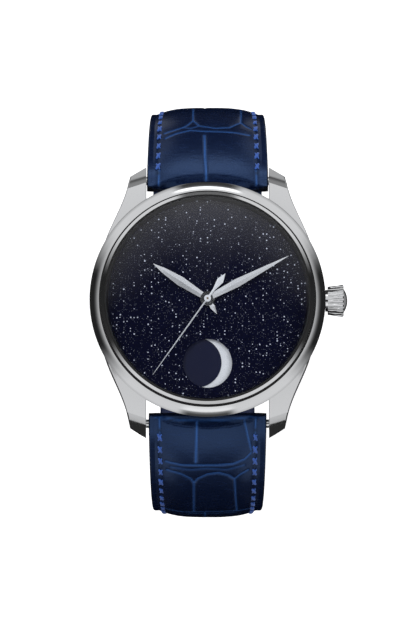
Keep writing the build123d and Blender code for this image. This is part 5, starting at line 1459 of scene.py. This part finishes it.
class Plate(Enum):
    """The finishes of the movement's plates, bridges and wheels."""

    GRAINED = Metal("grained_rhodium_plate", "#B9BABC", 0.3, Grain.BLASTED, 0.09, 0.004, 0.06)
    STRIPED = Metal("striped_rhodium_bridge", "#C6C7C9", 0.2, Grain.STRIPED, 0.07, 0.002, 0.06)
    GILT = Metal("gilt_brass_wheel", "#D9AE62", 0.2, Grain.CIRCULAR, 0.06, 0.0012, 0.05)
    BALANCE = Metal("polished_balance_alloy", "#D8B46C", 0.12, Grain.MIRROR, 0.1, 0.0006, 0.04)


@dataclass
class Dressing:
    """A group of CAD nodes that keep their shape and take their real finishes."""

    name: str
    finishes: dict[str, Finish | Enum]
    turned: tuple[str, ...] = ()

    def middle(self, node: str) -> Point:
        """The middle of a node's box in millimetres."""
        low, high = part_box(node)
        middle = (Vector(low) + Vector(high)) / (2 * MM)
        return (round(middle.x, 2), round(middle.y, 2), round(middle.z, 2))

    def dress(self, nodes: dict[str, Piece]) -> int:
        """Gives each node its finish.

        Args:
            nodes: The frame's nodes by name.

        Returns:
            How many nodes were dressed.
        """
        for node, finish in self.finishes.items():
            centre = self.middle(node) if node in self.turned else (0.0, 0.0, 0.0)
            made = (finish.value if isinstance(finish, Enum) else finish).material(centre)
            piece = nodes[node]
            for place in range(max(len(piece.data.materials), 1)):
                if place < len(piece.data.materials):
                    piece.data.materials[place] = made
                else:
                    piece.data.materials.append(made)
        return len(self.finishes)


@dataclass
class Studio:
    """Plain pale room: a floor, two soft lamps, a pale world and the camera.

    Sizes are in millimetres. Polished metal mirrors a world of its own, given in mirrored as levels
    against the angle from straight up in degrees. It also mirrors the floor as cards: dark in front
    of 6 o'clock, bright behind 12 o'clock and beside the flanks.
    """

    tilt: float = 5.3
    distance: float = 900.0
    target: Point = (-0.1, -3.8, 9.0)
    frame_height: float = 113.7
    sensor: float = 24.0
    floor_z: float = -100.0
    floor_size: float = 1600.0
    floor_reach: float = 400.0
    card_gap: Pair = (28.0, 45.0)
    flank_card: Pair = (70.0, 160.0)
    flank_level: float = 0.3
    flank_start: Pair = (-70.0, -40.0)
    floor_mirrored: tuple[Pair, ...] = (
        (0.0, 0.03), (110.0, 0.03), (150.0, 0.5), (260.0, 0.5), (320.0, 0.04)
    )
    lean_range: float = 180.0
    diagonal_span: Pair = (0.3, 0.7)
    end_span: Pair = (0.955, 0.985)
    lamps: tuple[tuple[str, Point, Pair, float], ...] = (
        ("overhead_left", (-420.0, 380.0, 620.0), (420.0, 420.0), 3.5),
        ("overhead_right", (460.0, 120.0, 520.0), (360.0, 420.0), 1.8),
    )
    mirrored: dict[str, tuple[Pair, ...]] = field(
        default_factory=lambda: {
            "side": (
                (0.0, 0.02), (12.0, 0.02), (15.5, 0.55), (19.0, 0.85), (30.0, 0.9), (38.0, 0.5),
                (46.0, 0.22), (56.0, 0.07), (66.0, 0.02), (100.0, 0.02), (130.0, 0.2),
            ),
            "diagonal": (
                (0.0, 0.02), (10.0, 0.03), (14.5, 0.4), (18.0, 0.78), (45.0, 0.85), (78.0, 0.85),
                (100.0, 0.5), (130.0, 0.3),
            ),
            "twelve": (
                (0.0, 0.02), (6.0, 0.02), (10.0, 0.1), (14.5, 0.45), (17.0, 0.8), (46.0, 0.85),
                (51.0, 2.2), (61.0, 2.2), (68.0, 0.2), (80.0, 0.06), (96.0, 0.05),
            ),
            "six": (
                (0.0, 0.02), (9.0, 0.02), (14.0, 0.2), (24.0, 0.85), (36.0, 1.0), (42.0, 1.1),
                (55.0, 1.1), (64.0, 0.3), (80.0, 0.08), (96.0, 0.05),
            ),
        }
    )

    def camera(self) -> Piece:
        """Sets the camera above the dial, tilted towards 6 o'clock.

        Returns:
            The camera.
        """
        lens = bpy.data.cameras.new("camera")
        lens.type = "PERSP"
        lens.sensor_fit = "VERTICAL"
        lens.sensor_height = self.sensor
        lens.lens = self.sensor * self.distance / self.frame_height
        lens.clip_start = 0.01
        lens.clip_end = 10.0
        piece = new_object("camera", lens)
        lean = math.radians(self.tilt)
        way = Vector((0.0, -math.sin(lean), math.cos(lean)))
        piece.location = (Vector(self.target) + way * self.distance) * MM
        piece.rotation_euler = (lean, 0.0, 0.0)
        bpy.context.scene.camera = piece
        return piece

    def lamp(self, name: str, place: Point, size: Pair, watts: float) -> Piece:
        """Hangs a soft rectangular lamp that looks at the dial.

        Args:
            name: The lamp's name.
            place: Where it hangs, in millimetres.
            size: Its width and height in millimetres.
            watts: Its power.

        Returns:
            The lamp.
        """
        light = bpy.data.lights.new(name, "AREA")
        light.shape = "RECTANGLE"
        light.size, light.size_y = size[0] * MM, size[1] * MM
        light.energy = watts
        piece = new_object(name, light)
        piece.visible_glossy = False
        piece.location = Vector(place) * MM
        way = Vector((0.0, 0.0, 5.0)) - Vector(place)
        piece.rotation_euler = way.to_track_quat("-Z", "Y").to_euler()
        return piece

    def seen(self, tree: Tree) -> Socket:
        """A mask that is 1 for the camera and for what clear crystal lets through."""
        path = add_node(tree, "ShaderNodeLightPath")
        return maths(
            tree, "MAXIMUM", path.outputs["Is Camera Ray"], path.outputs["Is Transmission Ray"]
        )

    def world(self) -> None:
        """Lights the room evenly, and mirrors as soft boxes above 12 and 6 o'clock.

        What polished metal mirrors depends on how far a direction leans from straight up, and
        towards which side. It is dark straight up, where the camera stands, and low at 3 and 9.
        """
        world = bpy.data.worlds.new("soft_box_room")
        bpy.context.scene.world = world
        tree = clear_tree(world)
        way = add_node(tree, "ShaderNodeTexCoord").outputs["Generated"]
        parts = add_node(tree, "ShaderNodeSeparateXYZ", {"Vector": way})
        lean = maths(tree, "ARCCOSINE", parts.outputs["Z"])
        share = maths(tree, "DIVIDE", lean, math.radians(self.lean_range))
        ramps = {
            name: grey_ramp(tree, share, stops, self.lean_range)
            for name, stops in self.mirrored.items()
        }
        flat = add_node(
            tree, "ShaderNodeCombineXYZ", {"X": parts.outputs["X"], "Y": parts.outputs["Y"]}
        )
        aimed = add_node(tree, "ShaderNodeVectorMath", {0: flat}, operation="NORMALIZE")
        aim = add_node(tree, "ShaderNodeSeparateXYZ", {"Vector": aimed})
        mixed = ramps["side"]
        forward = aim.outputs["Y"]
        for name, towards, span in (
            ("diagonal", maths(tree, "ABSOLUTE", forward), self.diagonal_span),
            ("twelve", forward, self.end_span),
            ("six", maths(tree, "MULTIPLY", forward, -1.0), self.end_span),
        ):
            weight = remap(tree, towards, source=span, smooth=True)
            mixed = blend(tree, weight, mixed, ramps[name])
        path = add_node(tree, "ShaderNodeLightPath")
        pick = blend(tree, path.outputs["Is Glossy Ray"], linear("#B4B4B6"), mixed)
        shown = blend(tree, self.seen(tree), pick, linear("#FFFFFF"))
        sky = add_node(tree, "ShaderNodeBackground", {"Color": shown})
        add_node(tree, "ShaderNodeOutputWorld", {"Surface": sky})

    def in_metres(self, span: Pair) -> Pair:
        """A span in millimetres, in the metres of the floor's own coordinates."""
        return span[0] * MM, span[1] * MM

    def floor(self) -> Piece:
        """Lays the white floor under the strap.

        Returns:
            The floor.
        """
        half = self.floor_size / 2
        corners = np.array(
            [(half * x, half * y, self.floor_z) for x, y in ((-1, -1), (1, -1), (1, 1), (-1, 1))]
        )
        piece = mesh_object("floor", corners, [[0, 1, 2, 3]], False)
        made = bpy.data.materials.new("white_paper_sweep")
        tree = clear_tree(made)
        paper = surface(tree, {"Base Color": linear("#F4F4F4"), "Roughness": 0.8})
        glow = add_node(tree, "ShaderNodeEmission", {"Color": linear("#FFFFFF"), "Strength": 0.5})
        both = add_node(tree, "ShaderNodeAddShader", {0: paper, 1: glow.outputs[0]})
        seen = add_node(tree, "ShaderNodeMixShader", {0: self.seen(tree), 1: paper, 2: both})
        place = add_node(tree, "ShaderNodeTexCoord").outputs["Object"]
        along = add_node(tree, "ShaderNodeSeparateXYZ", {"Vector": place})
        share = maths(tree, "DIVIDE", along.outputs["Y"], self.floor_reach * MM)
        card = grey_ramp(tree, share, self.floor_mirrored, self.floor_reach)
        aside = maths(tree, "ABSOLUTE", along.outputs["X"])
        beside = remap(
            tree, aside, source=self.in_metres(self.card_gap), target=(0.05, 1.0), smooth=True
        )
        behind = maths(tree, "MULTIPLY", card, beside)
        far = remap(
            tree, aside, source=self.in_metres(self.flank_card), target=(0.0, self.flank_level),
            smooth=True,
        )
        upward = remap(
            tree, along.outputs["Y"], source=self.in_metres(self.flank_start), smooth=True
        )
        flank = maths(tree, "MULTIPLY", far, upward)
        level = maths(tree, "MAXIMUM", behind, flank)
        mirrored = add_node(tree, "ShaderNodeEmission", {"Strength": level})
        path = add_node(tree, "ShaderNodeLightPath")
        shown = add_node(
            tree, "ShaderNodeMixShader",
            {0: path.outputs["Is Glossy Ray"], 1: seen.outputs[0], 2: mirrored.outputs[0]},
        )
        add_node(tree, "ShaderNodeOutputMaterial", {"Surface": shown.outputs[0]})
        piece.data.materials.append(made)
        return piece

    def build(self) -> None:
        """Sets up the whole room."""
        self.camera()
        self.world()
        self.floor()
        for lamp in self.lamps:
            self.lamp(*lamp)
        bpy.context.scene.view_settings.view_transform = "Standard"


def main() -> None:
    """Loads the frame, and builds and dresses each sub-assembly."""
    logging.basicConfig(level=logging.INFO, format="%(message)s")
    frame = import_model()
    nodes = frame["nodes"]
    Studio().build()
    upper_route = Route(((20.2, 70.0), (55.0, 36.0)), 75.0, Side.TWELVE)
    lower_route = Route(((20.2, 70.0), (58.0, 56.0)), 115.0, Side.SIX)
    upper_creases = [
        Crease(((-0.6, 8.3), (-0.45, 4.0), (-0.25, -0.6)), 0.14, 0.15),
        Crease(((-2.6, 20.0), (-2.6, 12.8))),
        Crease(((-2.6, 12.8), (-3.6, 11.3), (-4.6, 10.6), (-6.2, 10.0), (-7.8, 9.6))),
        Crease(((-2.6, 12.8), (-1.5, 11.0), (1.4, 10.3), (4.0, 10.6), (6.0, 12.5))),
        Crease(((6.0, 12.5), (6.8, 11.6), (7.8, 11.0))), Crease(((6.0, 12.5), (6.1, 20.0))),
        Crease(((-7.6, 8.2), (-5.8, 9.0), (-3.1, 9.7), (-0.4, 9.4), (3.1, 9.3), (7.6, 9.0))),
        Crease(((-4.6, 10.6), (-3.0, 10.3), (-1.5, 11.0)), 0.07, 0.15),
        Crease(((-8.75, -1.6), (-8.65, 1.2)), 0.1, 0.16),
        Crease(((8.75, -1.6), (8.65, 1.2)), 0.1, 0.16),
    ] + ScaleRule(20.4, 60.0, 11).creases()
    lower_creases = [
        Crease(((-9.6, -1.75), (-5.0, -1.1), (-0.4, -0.95), (5.8, -1.35), (9.6, -1.8)), 0.1, 0.15),
        Crease(((-1.9, -0.8), (-2.1, 6.2)), 0.14, 0.17), Crease(((6.6, -1.0), (7.8, 4.2))),
        Crease(((-7.5, 6.4), (-4.6, 6.8), (1.8, 6.75), (4.5, 6.6), (6.7, 5.8), (7.8, 4.7))),
        Crease(((-7.3, 8.1), (-4.8, 8.6), (-3.0, 9.6), (-2.46, 10.6))),
        Crease(((-2.46, 10.6), (-1.8, 9.6), (0.0, 8.6), (2.0, 8.3), (3.8, 8.9), (4.85, 9.8))),
        Crease(((4.85, 9.8), (5.8, 8.9), (7.3, 8.1))),
        Crease(((-6.6, 7.4), (-3.0, 7.7), (0.0, 7.4), (3.4, 7.7), (6.6, 7.0)), 0.05, 0.15),
        Crease(((-2.46, 10.6), (-2.46, 20.0))), Crease(((4.85, 9.8), (5.3, 20.0))),
        Crease(((-8.6, -1.4), (-8.5, 1.2)), 0.1, 0.16),
        Crease(((8.6, -1.4), (8.5, 1.2)), 0.1, 0.16),
    ] + ScaleRule(20.2, 86.0, 23).creases()
    halves = [
        StrapHalf("strap_12", "strap_12", upper_route, upper_creases, 58.0, slot=True),
        StrapHalf(
            "strap_6", "strap_6", lower_route, lower_creases, 88.0, width=21.0,
            hole_places=tuple(FIRST_HOLE - HOLE_PITCH * k for k in range(HOLE_COUNT)),
        ),
    ]
    for half in halves:
        for piece in half.build():
            LOG.info("%s: %d faces", piece.name, len(piece.data.polygons))
    keepers = [
        Keeper("fixed_keeper", "strap_12", upper_route, 68.25),
        Keeper("free_keeper", "free_keeper", upper_route, 61.75),
    ]
    for keeper in keepers:
        LOG.info("%s: loop built", keeper.build().name)
    dressings = [
        Dressing(
            "case",
            {
                "case_middle": Steel.MIRROR, "bezel": Steel.MIRROR, "case_back_ring": Steel.MIRROR,
                "case_back_screws": Steel.TURNED, "crown_tube": Steel.TURNED, "crown": Steel.MIRROR,
                "spring_bars": Steel.TURNED, "inner_flange": Steel.FLANGE,
                "front_crystal": Sapphire(), "back_crystal": Sapphire(), "crystal_gasket": Rubber(),
                "case_back_gasket": Rubber(),
            },
        ),
        Dressing(
            "dial side",
            {
                "dial": Aventurine(), "hour_hand": Steel.HANDS, "minute_hand": Steel.HANDS,
                "seconds_hand": MoonSilver(), "am_pm_hand": Steel.HANDS, "moon_ring": MoonSilver(),
                "moon_shadow_discs": Lacquer("moon_shadow", "#0F1430"), "moon_wheel": Plate.GILT,
                "minute_wheel": Plate.GILT, "hour_wheel": Plate.GILT, "day_idler": Plate.GILT,
                "am_pm_wheel": Plate.GILT, "cannon_pinion": Steel.PINION,
                "driving_pinion": Steel.PINION,
            },
            turned=("moon_wheel", "minute_wheel", "hour_wheel", "day_idler", "am_pm_wheel"),
        ),
        Dressing(
            "movement",
            {
                "casing_ring": Steel.SATIN, "main_plate": Plate.GRAINED,
                "barrel_bridge": Plate.STRIPED, "train_bridge": Plate.STRIPED,
                "balance_cock": Plate.STRIPED, "pallet_bridge": Plate.GRAINED,
                "bridge_screws": Steel.SCREW, "jewels": Ruby(), "ratchet_wheel": Steel.TURNED,
                "barrel_arbor": Steel.PINION, "crown_wheel": Steel.TURNED, "click": Steel.PINION,
                "winding_pinion": Steel.PINION, "sliding_pinion": Steel.PINION,
                "winding_stem": Steel.PINION, "barrel": Plate.GILT, "mainspring": Steel.SPRING,
                "second_wheel": Plate.GILT, "third_wheel": Plate.GILT, "fourth_wheel": Plate.GILT,
                "escape_wheel": Steel.PINION, "pallet_fork": Steel.PINION, "pallet_stones": Ruby(),
                "balance_wheel": Plate.BALANCE, "hairspring": Steel.SCREW,
            },
            turned=(
                "ratchet_wheel", "crown_wheel", "barrel", "second_wheel", "third_wheel",
                "fourth_wheel",
            ),
        ),
        Dressing(
            "buckle",
            {
                "buckle_bar": Steel.TURNED, "buckle_frame": Steel.MIRROR,
                "buckle_tongue": Steel.MIRROR,
            },
        ),
    ]
    for dressing in dressings:
        LOG.info("%s: %d pieces dressed", dressing.name, dressing.dress(nodes))


if __name__ == "__main__":
    main()
